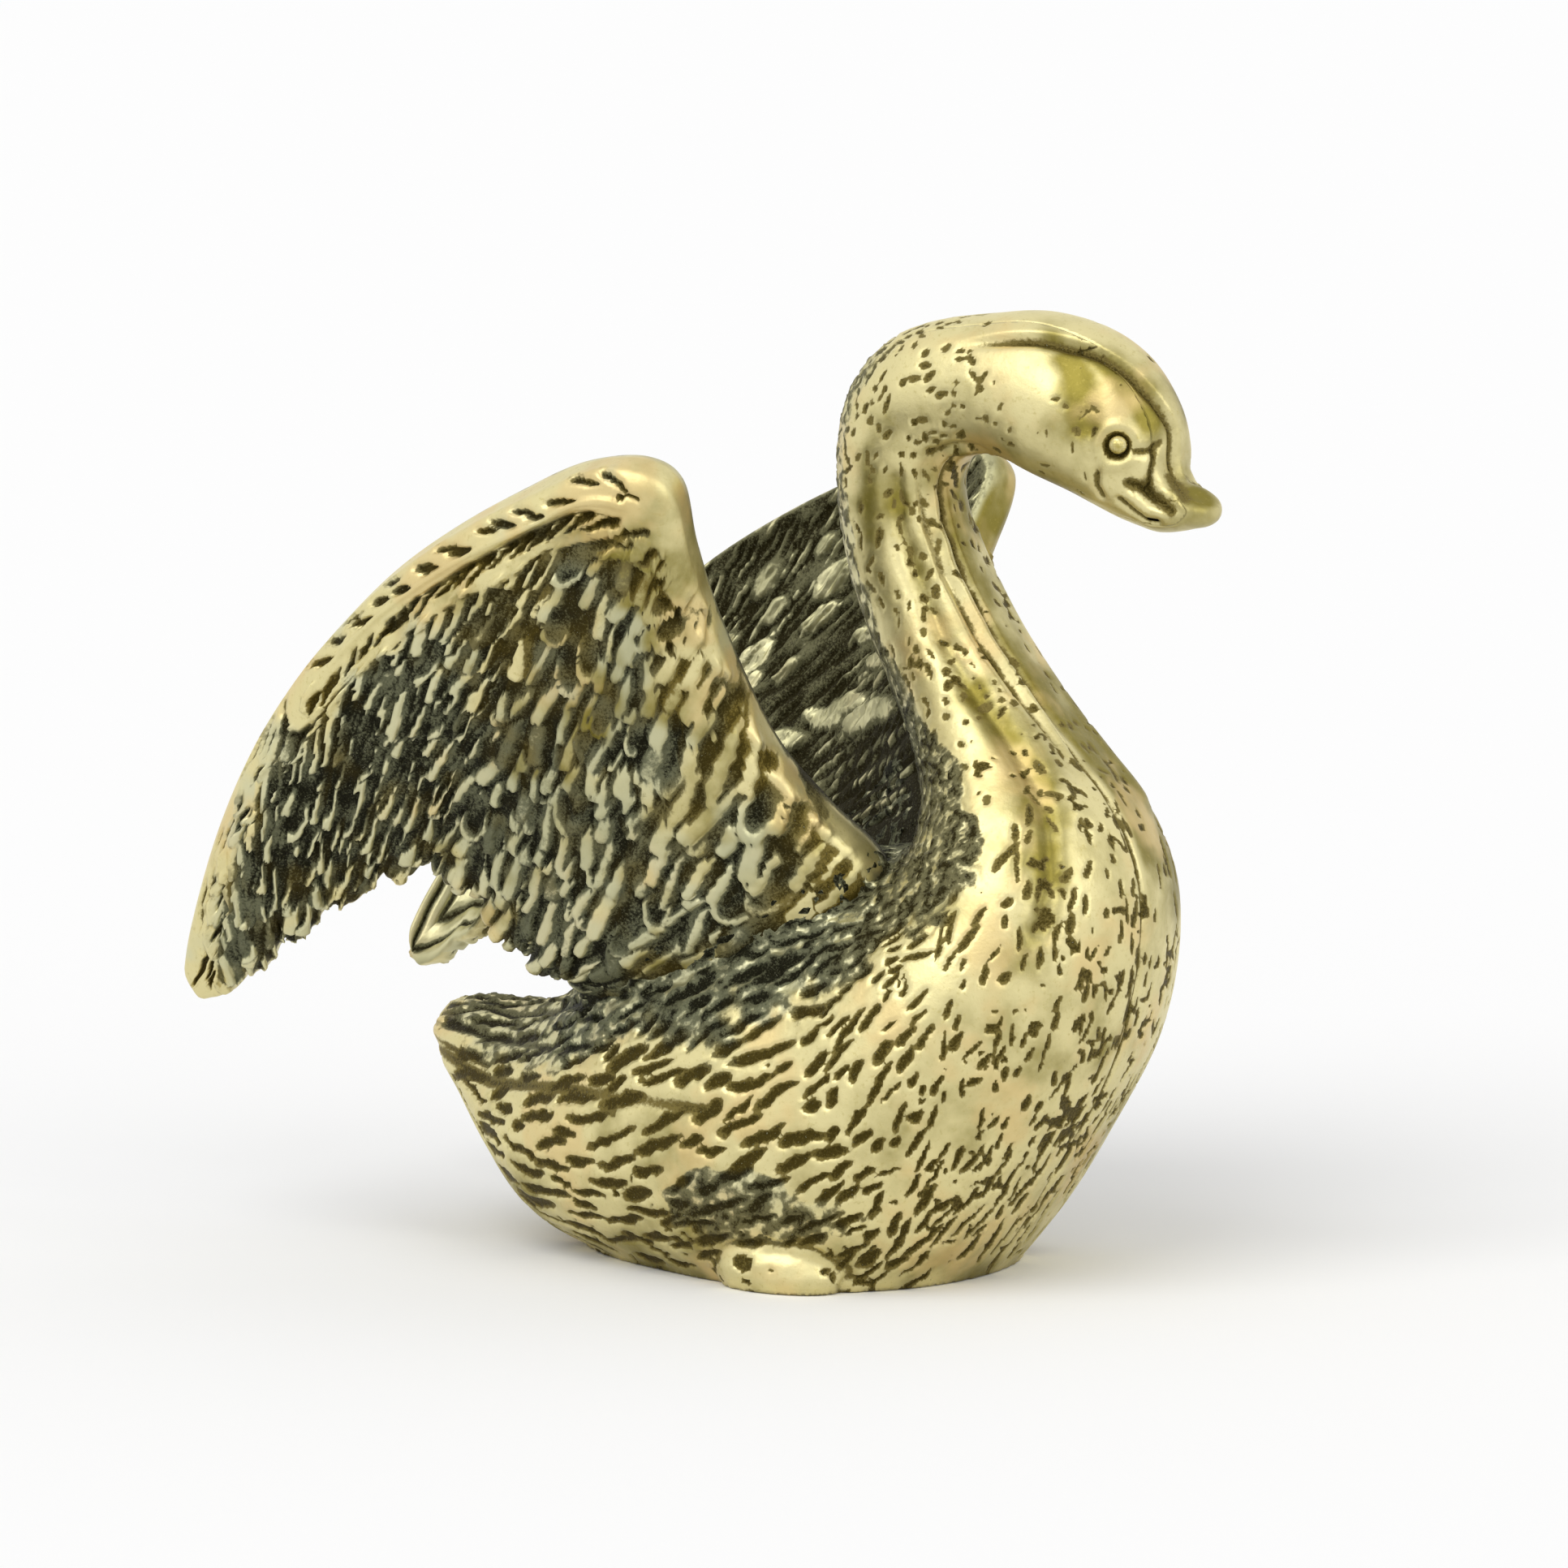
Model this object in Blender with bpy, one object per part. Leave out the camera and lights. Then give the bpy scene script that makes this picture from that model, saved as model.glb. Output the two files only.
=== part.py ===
"""A palm-sized cast brass swan: two half castings, two wings, and the pins that hold them.

The swan faces +X and sits on the plane z = 0, with its moulding seam in the plane y = 0 and
its right side at -Y. Tables and places are drawn for a body of the size DRAWN, in millimetres,
and follow the real size of the body. Every other length is in metres.
"""

import math

import bmesh
import bpy
import numpy as np
from mathutils import Matrix, Vector

MM = 0.001

# The body with neck and head, and the size for which the tables are drawn
BODY_LENGTH = 39.2 * MM
BODY_WIDTH = 20.2 * MM
BODY_HEIGHT = 42.1 * MM
DRAWN = {"length": 39.2, "width": 20.2, "height": 42.1}

# Fits
JOINT_GAP = 0.3 * MM

# Castings
WALL = 1.8 * MM
SEAT_LEVEL = 0.0
PLATE_THICKNESS = 1.5 * MM

# Wings
ARM_THICKNESS_ROOT = 3.6 * MM
ARM_THICKNESS = 2.5 * MM
TIP_THICKNESS = 1.3 * MM
TRAILING_THICKNESS = 0.9 * MM
WING_CAMBER = 1.6 * MM
FULL_CAMBER_CHORD = 10 * MM
FEATHER_STEP = 0.3 * MM
LOBE_DEPTH = 0.9 * MM
LOBE_COUNT = 9
LEFT_WING_OPENING = math.radians(7.5)
LEFT_WING_SWEEP = math.radians(5)
LEFT_WING_SCALE = 0.96

# Pins and dowels
WING_PIN_DIAMETER = 1.4 * MM
WING_PIN_LENGTH = 4.0 * MM
DOWEL_DIAMETER = 1.4 * MM
DOWEL_LENGTH = 3.4 * MM
PIN_CHAMFER = 0.15 * MM

# Eyes
EYE_DIAMETER = 0.8 * MM
EYE_SHANK = 1.1 * MM
EYE_STAND = 0.25 * MM

# Feet
FOOT_LENGTH = 6.6 * MM
FOOT_WIDTH = 3.4 * MM
FOOT_HEIGHT = 3.2 * MM
TOE_DIAMETER = 2.2 * MM
FOOT_PITCH = math.radians(7)
# Drawn places: x, y outwards, z
FOOT_PLACE = (3.9, 7.7, 0.9)
TOE_PLACE = (6.9, 6.2, 0.7)

# Stations from the tail to the tip of the bill:
# upper x, upper z, lower x, lower z, half width, lean to the left
BODY_STATIONS = (
    (-18.2, 9.3, -18.0, 8.2, 1.3, 0.0),
    (-17.4, 10.0, -17.2, 7.2, 2.5, 0.0),
    (-15.2, 10.3, -15.4, 5.4, 3.9, 0.0),
    (-12.8, 10.3, -13.2, 2.9, 5.4, 0.0),
    (-10.2, 11.4, -10.6, 0.5, 7.0, 0.0),
    (-7.0, 13.8, -7.4, -0.7, 8.3, 0.0),
    (-3.0, 16.0, -3.0, -1.8, 9.4, 0.0),
    (1.0, 17.6, 2.3, -2.9, 10.1, 0.0),
    (4.0, 18.4, 7.4, -2.2, 10.0, 0.0),
    (5.8, 18.7, 11.1, 1.2, 9.7, 0.0),
    (6.8, 18.9, 14.1, 5.6, 9.2, 0.1),
    (7.4, 19.4, 16.4, 9.5, 8.5, 0.2),
    (7.6, 20.0, 17.7, 13.6, 7.5, 0.3),
    (7.5, 20.8, 17.9, 17.4, 6.5, 0.4),
    (7.2, 21.6, 16.7, 20.7, 5.5, 0.6),
    (6.7, 22.6, 14.7, 23.1, 4.6, 0.8),
    (5.9, 24.1, 12.5, 25.5, 3.9, 1.0),
    (4.6, 26.3, 10.5, 28.0, 3.4, 1.2),
    (3.3, 28.8, 9.0, 30.4, 3.1, 1.3),
    (2.4, 31.3, 8.1, 32.3, 2.9, 1.3),
    (2.0, 34.0, 7.6, 34.2, 2.8, 1.3),
    (2.0, 36.6, 7.8, 35.2, 2.8, 1.3),
    (2.8, 39.0, 8.2, 35.7, 2.8, 1.3),
    (4.7, 40.9, 8.8, 35.9, 2.9, 1.3),
    (7.2, 41.8, 9.6, 36.0, 2.9, 1.3),
    (10.0, 42.1, 10.7, 35.8, 3.0, 1.3),
    (12.6, 42.1, 12.2, 35.2, 3.1, 1.3),
    (15.0, 41.6, 13.9, 34.6, 3.0, 1.3),
    (16.8, 40.6, 15.1, 34.1, 2.8, 1.3),
    (18.0, 39.2, 16.3, 33.6, 2.4, 1.3),
    (18.7, 37.7, 17.3, 33.3, 2.0, 1.3),
    (19.0, 36.5, 18.2, 33.1, 1.7, 1.3),
    (19.8, 35.9, 19.1, 33.2, 1.7, 1.3),
    (20.5, 35.3, 20.0, 33.4, 1.6, 1.3),
    (21.0, 34.8, 20.7, 33.9, 1.0, 1.3),
)
BODY_STEPS = 2
BODY_SIDES = 28
BELLY_SAG = 0.12
CORE_FIRST = 4
CORE_LAST = 12
EYE_STATION = 28.9
EYE_ANGLE = math.radians(-72)
EYE_STEPS = 10
# A short way on around the section, and a short way on along the stations, to see how the cheek slopes
EYE_TURN = math.radians(12)
EYE_SHIFT = 2

# Stations of the right wing from its root to its tip, with y outwards:
# leading x, y, z, then trailing x, y, z
WING_STATIONS = (
    (6.4, 2.4, 15.4, -7.4, 2.8, 9.8),
    (7.0, 3.6, 18.4, -8.2, 4.2, 12.2),
    (5.0, 5.0, 21.0, -8.8, 5.1, 12.9),
    (3.3, 6.7, 24.0, -9.3, 5.7, 13.2),
    (2.3, 9.2, 28.9, -10.2, 6.3, 13.9),
    (2.2, 11.3, 32.7, -11.1, 6.7, 14.9),
    (2.4, 12.9, 35.7, -12.2, 7.1, 16.2),
    (1.0, 13.6, 36.7, -13.3, 7.4, 17.0),
    (-1.6, 13.8, 36.4, -14.5, 7.5, 17.2),
    (-4.9, 13.8, 35.0, -15.7, 7.7, 16.7),
    (-8.3, 13.6, 33.3, -17.2, 7.9, 16.0),
    (-11.7, 13.3, 31.2, -18.6, 8.0, 15.2),
    (-14.9, 12.8, 28.6, -20.0, 8.1, 14.2),
    (-17.4, 12.3, 26.2, -21.1, 8.2, 13.4),
    (-20.0, 11.6, 23.1, -22.0, 8.3, 12.6),
    (-22.7, 10.6, 18.9, -23.0, 8.3, 11.7),
    (-25.0, 9.4, 14.3, -24.2, 8.4, 10.9),
    (-25.9, 8.7, 11.8, -25.2, 8.5, 10.4),
)
WING_STEPS = 3
# Shares of the span: where the thick pad at the root ends, and over how much it thins out
ROOT_PAD_END = 0.3
ROOT_PAD_FADE = 0.2
# Shares of the span over which the lobes rise from the root and die out at the tip
LOBE_RISE = 0.2
TIP_FADE = 0.25
WING_PIN_PLACES = {"front": 0.2, "rear": 0.72}
# Shares of the chord, from the leading edge to the trailing edge
THIN_FROM = 0.6
OUTER_CHORD = (
    0.0, 0.008, 0.03, 0.07, 0.13, 0.145, 0.25, 0.35,
    0.44, 0.455, 0.6, 0.75, 0.88, 0.96, 0.99, 1.0,
)
INNER_CHORD = (0.985, 0.93, 0.8, 0.62, 0.44, 0.28, 0.14, 0.06, 0.02)
COVERT_EDGES = (0.13, 0.44)

# Dowels across the seam: x and z
DOWEL_PLACES = {"tail": (-13.6, 6.8), "breast": (15.6, 14.6), "neck": (9.6, 25.2)}

# Mesh detail
ROD_SIDES = 16
BALL_SIDES = 20
BALL_RINGS = 12
SHARP_ANGLE = math.radians(40)

BRASS = (0.62, 0.47, 0.16, 1.0)
DARK_BRASS = (0.32, 0.25, 0.11, 1.0)


def clear_scene():
    for item in list(bpy.data.objects):
        bpy.data.objects.remove(item, do_unlink=True)


def new_collection(name):
    group = bpy.data.collections.new(name)
    bpy.context.scene.collection.children.link(group)
    return group


def brass_material(name, colour, roughness):
    material = bpy.data.materials.new(name)
    material.use_nodes = True
    shader = material.node_tree.nodes["Principled BSDF"]
    shader.inputs["Base Color"].default_value = colour
    shader.inputs["Metallic"].default_value = 1.0
    shader.inputs["Roughness"].default_value = roughness
    return material


def real_size(drawn_x, drawn_y, drawn_z):
    """A drawn point at the size of the real body."""
    return Vector((
        drawn_x * BODY_LENGTH / DRAWN["length"],
        drawn_y * BODY_WIDTH / DRAWN["width"],
        drawn_z * BODY_HEIGHT / DRAWN["height"],
    ))


def body_rows(steps, first=0, last=len(BODY_STATIONS) - 1):
    """Smooth rows of upper x, upper z, lower x, lower z, half width and lean, at real size."""
    length, width, height = real_size(1.0, 1.0, 1.0)
    stations = np.array(BODY_STATIONS[first : last + 1])
    return smooth_rows(stations * (length, height, length, height, width, width), steps)


def wing_table_rows(steps):
    """Smooth rows of leading x, y, z and trailing x, y, z, at real size."""
    factors = np.tile(real_size(1.0, 1.0, 1.0), 2)
    return smooth_rows(np.array(WING_STATIONS) * factors, steps)


def smooth_rows(points, steps):
    """Rows of a smooth curve through the rows of a table, with some steps to each span."""
    padded = np.vstack((2 * points[0] - points[1], points, 2 * points[-1] - points[-2]))
    smooth = []
    for span in range(len(points) - 1):
        before, start, end, after = padded[span : span + 4]
        for step in range(steps):
            t = step / steps
            bend = 2 * before - 5 * start + 4 * end - after
            twist = 3 * (start - end) + after - before
            smooth.append(start + 0.5 * t * (end - before + t * (bend + t * twist)))
    smooth.append(points[-1])
    return np.array(smooth)


def body_ring(row, inset):
    """A closed section of the body between its upper and lower rail, set in by some depth."""
    return [section_point(row, 2 * math.pi * side / BODY_SIDES, inset) for side in range(BODY_SIDES)]


def section_point(row, angle, inset=0.0):
    """A point of a section, at an angle from its upper rail towards the left side."""
    upper_x, upper_z, lower_x, lower_z, half_width, lean = row
    middle = Vector(((upper_x + lower_x) / 2, lean, (upper_z + lower_z) / 2))
    rise = Vector(((upper_x - lower_x) / 2, 0.0, (upper_z - lower_z) / 2))
    rise *= 1 - inset / rise.length
    across = math.sin(angle)
    along = math.cos(angle) - BELLY_SAG * across * across
    return middle + rise * along + Vector((0.0, across * (half_width - inset), 0.0))


def loft(name, rings, group):
    """A closed solid through rings of equally many points, with flat ends."""
    form = bmesh.new()
    loops = [[form.verts.new(point) for point in ring] for ring in rings]
    for near, far in zip(loops, loops[1:]):
        for corner in range(len(near)):
            form.faces.new((near[corner - 1], near[corner], far[corner], far[corner - 1]))
    form.faces.new(loops[0])
    form.faces.new(loops[-1])
    return solid_from(name, form, group)


def solid_from(name, form, group):
    """An object with smooth shading from a bmesh, whose faces all point out."""
    bmesh.ops.triangulate(form, faces=form.faces[:])
    bmesh.ops.recalc_face_normals(form, faces=form.faces[:])
    mesh = bpy.data.meshes.new(name)
    form.to_mesh(mesh)
    form.free()
    mesh.shade_smooth()
    mesh.set_sharp_from_angle(angle=SHARP_ANGLE)
    solid = bpy.data.objects.new(name, mesh)
    group.objects.link(solid)
    return solid


def make_cutter(solid):
    solid.hide_render = True
    solid.display_type = "WIRE"
    return solid


def box(name, low, high, group):
    form = bmesh.new()
    size = high - low
    placing = Matrix.Translation((low + high) / 2) @ Matrix.Diagonal((*size, 1.0))
    bmesh.ops.create_cube(form, size=1.0, matrix=placing)
    return solid_from(name, form, group)


def ball(name, centre, size, pitch, group):
    form = bmesh.new()
    placing = Matrix.Translation(centre) @ Matrix.Rotation(pitch, 4, "Y") @ Matrix.Diagonal((*size, 1.0))
    bmesh.ops.create_uvsphere(form, u_segments=BALL_SIDES, v_segments=BALL_RINGS, radius=0.5, matrix=placing)
    return solid_from(name, form, group)


def rod(name, start, end, diameter, group, chamfer=0.0):
    """A round bar between two points, with its ends chamfered."""
    form = bmesh.new()
    axis = end - start
    turn = axis.to_track_quat("Z", "Y").to_matrix().to_4x4()
    placing = Matrix.Translation((start + end) / 2) @ turn
    radius = diameter / 2
    bmesh.ops.create_cone(
        form,
        cap_ends=True,
        segments=ROD_SIDES,
        radius1=radius,
        radius2=radius,
        depth=axis.length,
        matrix=placing,
    )
    if chamfer:
        rims = [edge for edge in form.edges if any(len(face.verts) > 4 for face in edge.link_faces)]
        bmesh.ops.bevel(form, geom=rims, offset=chamfer, segments=1, affect="EDGES")
    return solid_from(name, form, group)


def cut(solid, tool, operation="DIFFERENCE"):
    change = solid.modifiers.new(f"{operation.lower()}_{tool.name}", "BOOLEAN")
    change.operation = operation
    change.object = tool
    change.solver = "EXACT"


def copy_solid(solid, name, group):
    twin = bpy.data.objects.new(name, solid.data.copy())
    group.objects.link(twin)
    return twin


def chord_thickness(share, span):
    """Thickness of a wing at a share of its chord and a share of its span, before its edges round off."""
    root = min(1.0, max(0.0, ROOT_PAD_END - span) / ROOT_PAD_FADE)
    arm = ARM_THICKNESS + (ARM_THICKNESS_ROOT - ARM_THICKNESS) * root
    arm += (TIP_THICKNESS - ARM_THICKNESS) * span**3
    trailing = TRAILING_THICKNESS + (ARM_THICKNESS_ROOT - TRAILING_THICKNESS) * root
    return arm + (trailing - arm) * min(1.0, share / THIN_FROM)


def feather_tiers(share):
    """Height of the overlapping tiers of feathers, which drop at the covert edges."""
    height = 0.0
    for edge in COVERT_EDGES:
        if share <= edge:
            height += FEATHER_STEP
    return height


def wing_rows():
    """Leading and trailing points along the right wing, with a lobed trailing edge."""
    rows = wing_table_rows(WING_STEPS)
    edges = []
    for index, row in enumerate(rows):
        span = index / (len(rows) - 1)
        lead = Vector(row[:3])
        trail = Vector(row[3:])
        lobe = abs(math.sin(math.pi * LOBE_COUNT * span)) - 0.5
        fade = min(1.0, span / LOBE_RISE) * min(1.0, (1 - span) / TIP_FADE)
        trail += (trail - lead).normalized() * LOBE_DEPTH * lobe * fade
        edges.append((lead, trail))
    return edges


def wing_normal(edges, index):
    """The way the outer face looks at one chord."""
    before = edges[max(index - 1, 0)]
    after = edges[min(index + 1, len(edges) - 1)]
    along = (after[0] + after[1]) - (before[0] + before[1])
    chord = edges[index][1] - edges[index][0]
    return chord.cross(along).normalized()


def wing_ring(edges, index):
    """One section of the wing: its outer face to the trailing edge, and its inner face back."""
    lead, trail = edges[index]
    span = index / (len(edges) - 1)
    normal = wing_normal(edges, index)
    chord = (trail - lead).length
    ring = []
    for share, face in [(s, 1) for s in OUTER_CHORD] + [(s, -1) for s in INNER_CHORD]:
        half = chord_thickness(share, span) / 2
        if face > 0:
            half += feather_tiers(share) * min(1.0, (1 - span) / TIP_FADE)
        inward = min(1.0, min(share, 1 - share) * chord / half)
        height = face * half * math.sqrt(1 - (1 - inward) ** 2)
        ring.append(wing_middle(edges, index, share) + normal * height)
    return ring


def pose_wing(points, side):
    """Points of the wing drawing on their side of the swan.

    The left wing is a little smaller than the right one, opened wider and swept back.
    """
    front = real_size(*WING_STATIONS[0][:3])
    rear = real_size(*WING_STATIONS[0][3:])
    placing = Matrix.Identity(4)
    if side > 0:
        sweep = Matrix.Rotation(LEFT_WING_SWEEP, 4, "Z")
        opening = Matrix.Rotation(-LEFT_WING_OPENING, 4, (front - rear).normalized())
        placing = sweep @ opening @ Matrix.Scale(LEFT_WING_SCALE, 4)
    placed = []
    for point in points:
        turned = front + placing @ (point - front)
        placed.append(Vector((turned.x, side * turned.y, turned.z)))
    return placed


def wing_middle(edges, index, share):
    """A point halfway through the wing's thickness."""
    lead, trail = edges[index]
    chord = (trail - lead).length
    camber = WING_CAMBER * 4 * share * (1 - share) * min(1.0, chord / FULL_CAMBER_CHORD)
    return lead.lerp(trail, share) + wing_normal(edges, index) * camber


def wing_pin_line(share):
    """The middle and the direction of a pin at the wing's root, on the right wing drawing."""
    edges = wing_rows()
    inner = wing_middle(edges, 0, share)
    middle = wing_middle(edges, WING_STEPS, share)
    outer = wing_middle(edges, 2 * WING_STEPS, share)
    chord = (edges[WING_STEPS][1] - edges[WING_STEPS][0]).normalized()
    rise = outer - inner
    rise -= chord * rise.dot(chord)
    return middle, rise.normalized()


def wing_pin_ends(share, side, length):
    middle, rise = wing_pin_line(share)
    return pose_wing((middle - rise * length / 2, middle + rise * length / 2), side)


def body_blank(group, name, inset=0.0, first=0, last=len(BODY_STATIONS) - 1):
    rows = body_rows(BODY_STEPS, first, last)
    return loft(name, [body_ring(row, inset) for row in rows], group)


def eye_line():
    """The middle of the right eye on the cheek, and the way the cheek looks there."""
    rows = body_rows(EYE_STEPS)
    index = round(EYE_STATION * EYE_STEPS)
    points = []
    for row in (rows[index], rows[index + EYE_SHIFT]):
        for angle in (EYE_ANGLE, EYE_ANGLE + EYE_TURN):
            points.append(section_point(row, angle))
    outward = (points[2] - points[0]).cross(points[1] - points[0]).normalized()
    if outward.y > 0:
        outward = -outward
    return points[0], outward, rows[index][5]


def place_eye(side):
    """The middle of an eye and its outward direction, for the right side (-1) or the left side (1)."""
    middle, outward, lean = eye_line()
    if side > 0:
        middle = Vector((middle.x, 2 * lean - middle.y, middle.z))
        outward = Vector((outward.x, -outward.y, outward.z))
    return middle, outward


def add_eye(name, side, group, cutters):
    """A bead with a domed head on a shank, and the round socket that it sits in."""
    middle, outward = place_eye(side)
    radius = EYE_DIAMETER / 2
    foot = middle - outward * EYE_SHANK
    head = middle + outward * (EYE_STAND - radius / 2)
    bead = rod(name, foot, head, EYE_DIAMETER, group)
    dome = ball(f"{name}_dome", head, (EYE_DIAMETER,) * 3, 0.0, cutters)
    cut(bead, make_cutter(dome), "UNION")
    socket_foot = foot - outward * JOINT_GAP
    socket_mouth = middle + outward * EYE_DIAMETER
    socket = rod(f"{name}_socket", socket_foot, socket_mouth, EYE_DIAMETER + 2 * JOINT_GAP, cutters)
    return bead, make_cutter(socket)


def add_feet(side, cutters):
    """The foot and the toe that show under the flank on one side."""
    foot_x, foot_y, foot_z = FOOT_PLACE
    foot_centre = real_size(foot_x, side * foot_y, foot_z)
    foot = ball(f"foot_{side}", foot_centre, (FOOT_LENGTH, FOOT_WIDTH, FOOT_HEIGHT), FOOT_PITCH, cutters)
    toe_x, toe_y, toe_z = TOE_PLACE
    toe_centre = real_size(toe_x, side * toe_y, toe_z)
    toe = ball(f"toe_{side}", toe_centre, (TOE_DIAMETER,) * 3, 0.0, cutters)
    return make_cutter(foot), make_cutter(toe)


def half_space(name, side, cutters):
    """Everything on one side of the seam and above the seat."""
    near = side * JOINT_GAP / 2
    far = side * BODY_WIDTH
    low = Vector((-BODY_LENGTH, min(near, far), SEAT_LEVEL))
    high = Vector((BODY_LENGTH, max(near, far), 2 * BODY_HEIGHT))
    return make_cutter(box(name, low, high, cutters))


def add_wing(name, side, group, clearance):
    edges = wing_rows()
    rings = [pose_wing(wing_ring(edges, index), side) for index in range(len(edges))]
    wing = loft(name, rings, group)
    cut(wing, clearance)
    return wing


def add_pin(name, start, end, diameter, group, cutters):
    """A pin, and the hole around it that leaves the joint gap on all sides."""
    pin = rod(name, start, end, diameter, group, PIN_CHAMFER)
    axis = (end - start).normalized()
    hole = rod(
        f"{name}_hole", start - axis * JOINT_GAP, end + axis * JOINT_GAP, diameter + 2 * JOINT_GAP, cutters
    )
    return pin, make_cutter(hole)


def add_base_plate(group, cutters):
    """A plate that fills the mouth of the hollow body, flush with the seat."""
    slab_low = Vector((-BODY_LENGTH, -BODY_WIDTH, SEAT_LEVEL))
    slab_high = Vector((BODY_LENGTH, BODY_WIDTH, SEAT_LEVEL + PLATE_THICKNESS))
    plate = box("base_plate", slab_low, slab_high, group)
    mouth = body_blank(cutters, "plate_outline", WALL + JOINT_GAP, CORE_FIRST, CORE_LAST)
    cut(plate, make_cutter(mouth), "INTERSECT")
    return plate


def main():
    clear_scene()
    swan = new_collection("brass_swan_figurine")
    cutters = new_collection("cutters")
    cast = brass_material("cast_brass", BRASS, 0.28)
    drawn = brass_material("drawn_brass", BRASS, 0.4)
    dark = brass_material("patinated_brass", DARK_BRASS, 0.5)

    blank = make_cutter(body_blank(cutters, "body_blank"))
    clearance = make_cutter(body_blank(cutters, "body_clearance", -JOINT_GAP))
    core = make_cutter(body_blank(cutters, "body_core", WALL, CORE_FIRST, CORE_LAST))

    dowel_holes = []
    for place, (x, z) in DOWEL_PLACES.items():
        middle = real_size(x, 0.0, z)
        start = middle - Vector((0.0, DOWEL_LENGTH / 2, 0.0))
        end = middle + Vector((0.0, DOWEL_LENGTH / 2, 0.0))
        dowel, hole = add_pin(f"{place}_dowel", start, end, DOWEL_DIAMETER, swan, cutters)
        dowel.data.materials.append(drawn)
        dowel_holes.append(hole)

    for side_name, side in (("right", -1), ("left", 1)):
        shell = copy_solid(blank, f"{side_name}_body_shell", swan)
        for lump in add_feet(side, cutters):
            cut(shell, lump, "UNION")
        cut(shell, half_space(f"{side_name}_side", side, cutters), "INTERSECT")
        cut(shell, core)
        for hole in dowel_holes:
            cut(shell, hole)
        bead, socket = add_eye(f"{side_name}_eye_bead", side, swan, cutters)
        cut(shell, socket)
        wing = add_wing(f"{side_name}_wing", side, swan, clearance)
        for place, share in WING_PIN_PLACES.items():
            start, end = wing_pin_ends(share, side, WING_PIN_LENGTH)
            pin_name = f"{side_name}_wing_{place}_pin"
            pin, hole = add_pin(pin_name, start, end, WING_PIN_DIAMETER, swan, cutters)
            pin.data.materials.append(drawn)
            cut(shell, hole)
            cut(wing, hole)
        shell.data.materials.append(cast)
        bead.data.materials.append(cast)
        wing.data.materials.append(cast)

    plate = add_base_plate(swan, cutters)
    plate.data.materials.append(dark)


main()
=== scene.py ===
"""The looks of a palm-sized cast brass swan: its feathers, graver strokes, seam, patina and studio.

The swan faces +X, its seam lies in the plane y = 0 and its base in the plane z = 0. The castings
are shaped in millimetres and brought to metres at the end.
"""

import itertools
import math
from collections import namedtuple

import bmesh
import bpy
import numpy as np
from mathutils import Matrix, Vector
from mathutils.kdtree import KDTree


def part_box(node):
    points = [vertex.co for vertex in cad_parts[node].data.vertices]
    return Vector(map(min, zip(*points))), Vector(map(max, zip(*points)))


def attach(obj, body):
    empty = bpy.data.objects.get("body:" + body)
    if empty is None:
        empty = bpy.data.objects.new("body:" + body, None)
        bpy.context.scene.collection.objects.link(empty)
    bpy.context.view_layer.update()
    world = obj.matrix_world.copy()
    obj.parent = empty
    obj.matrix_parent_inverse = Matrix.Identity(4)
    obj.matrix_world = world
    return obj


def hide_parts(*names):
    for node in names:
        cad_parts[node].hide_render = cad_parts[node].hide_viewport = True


MM = 0.001

Lump = namedtuple("Lump", "place size pitch")
Mark = namedtuple("Mark", "centre along outward half_length half_width strength")
# A wing in rows along its span, and as flat arrays of points, with the share of the span, the depth
# behind the leading edge and the distance to the trailing edge of each
Wing = namedtuple("Wing", "grid normals chordward tipward span share chord")
Sheet = namedtuple("Sheet", "tree points normals span depth behind")

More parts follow.
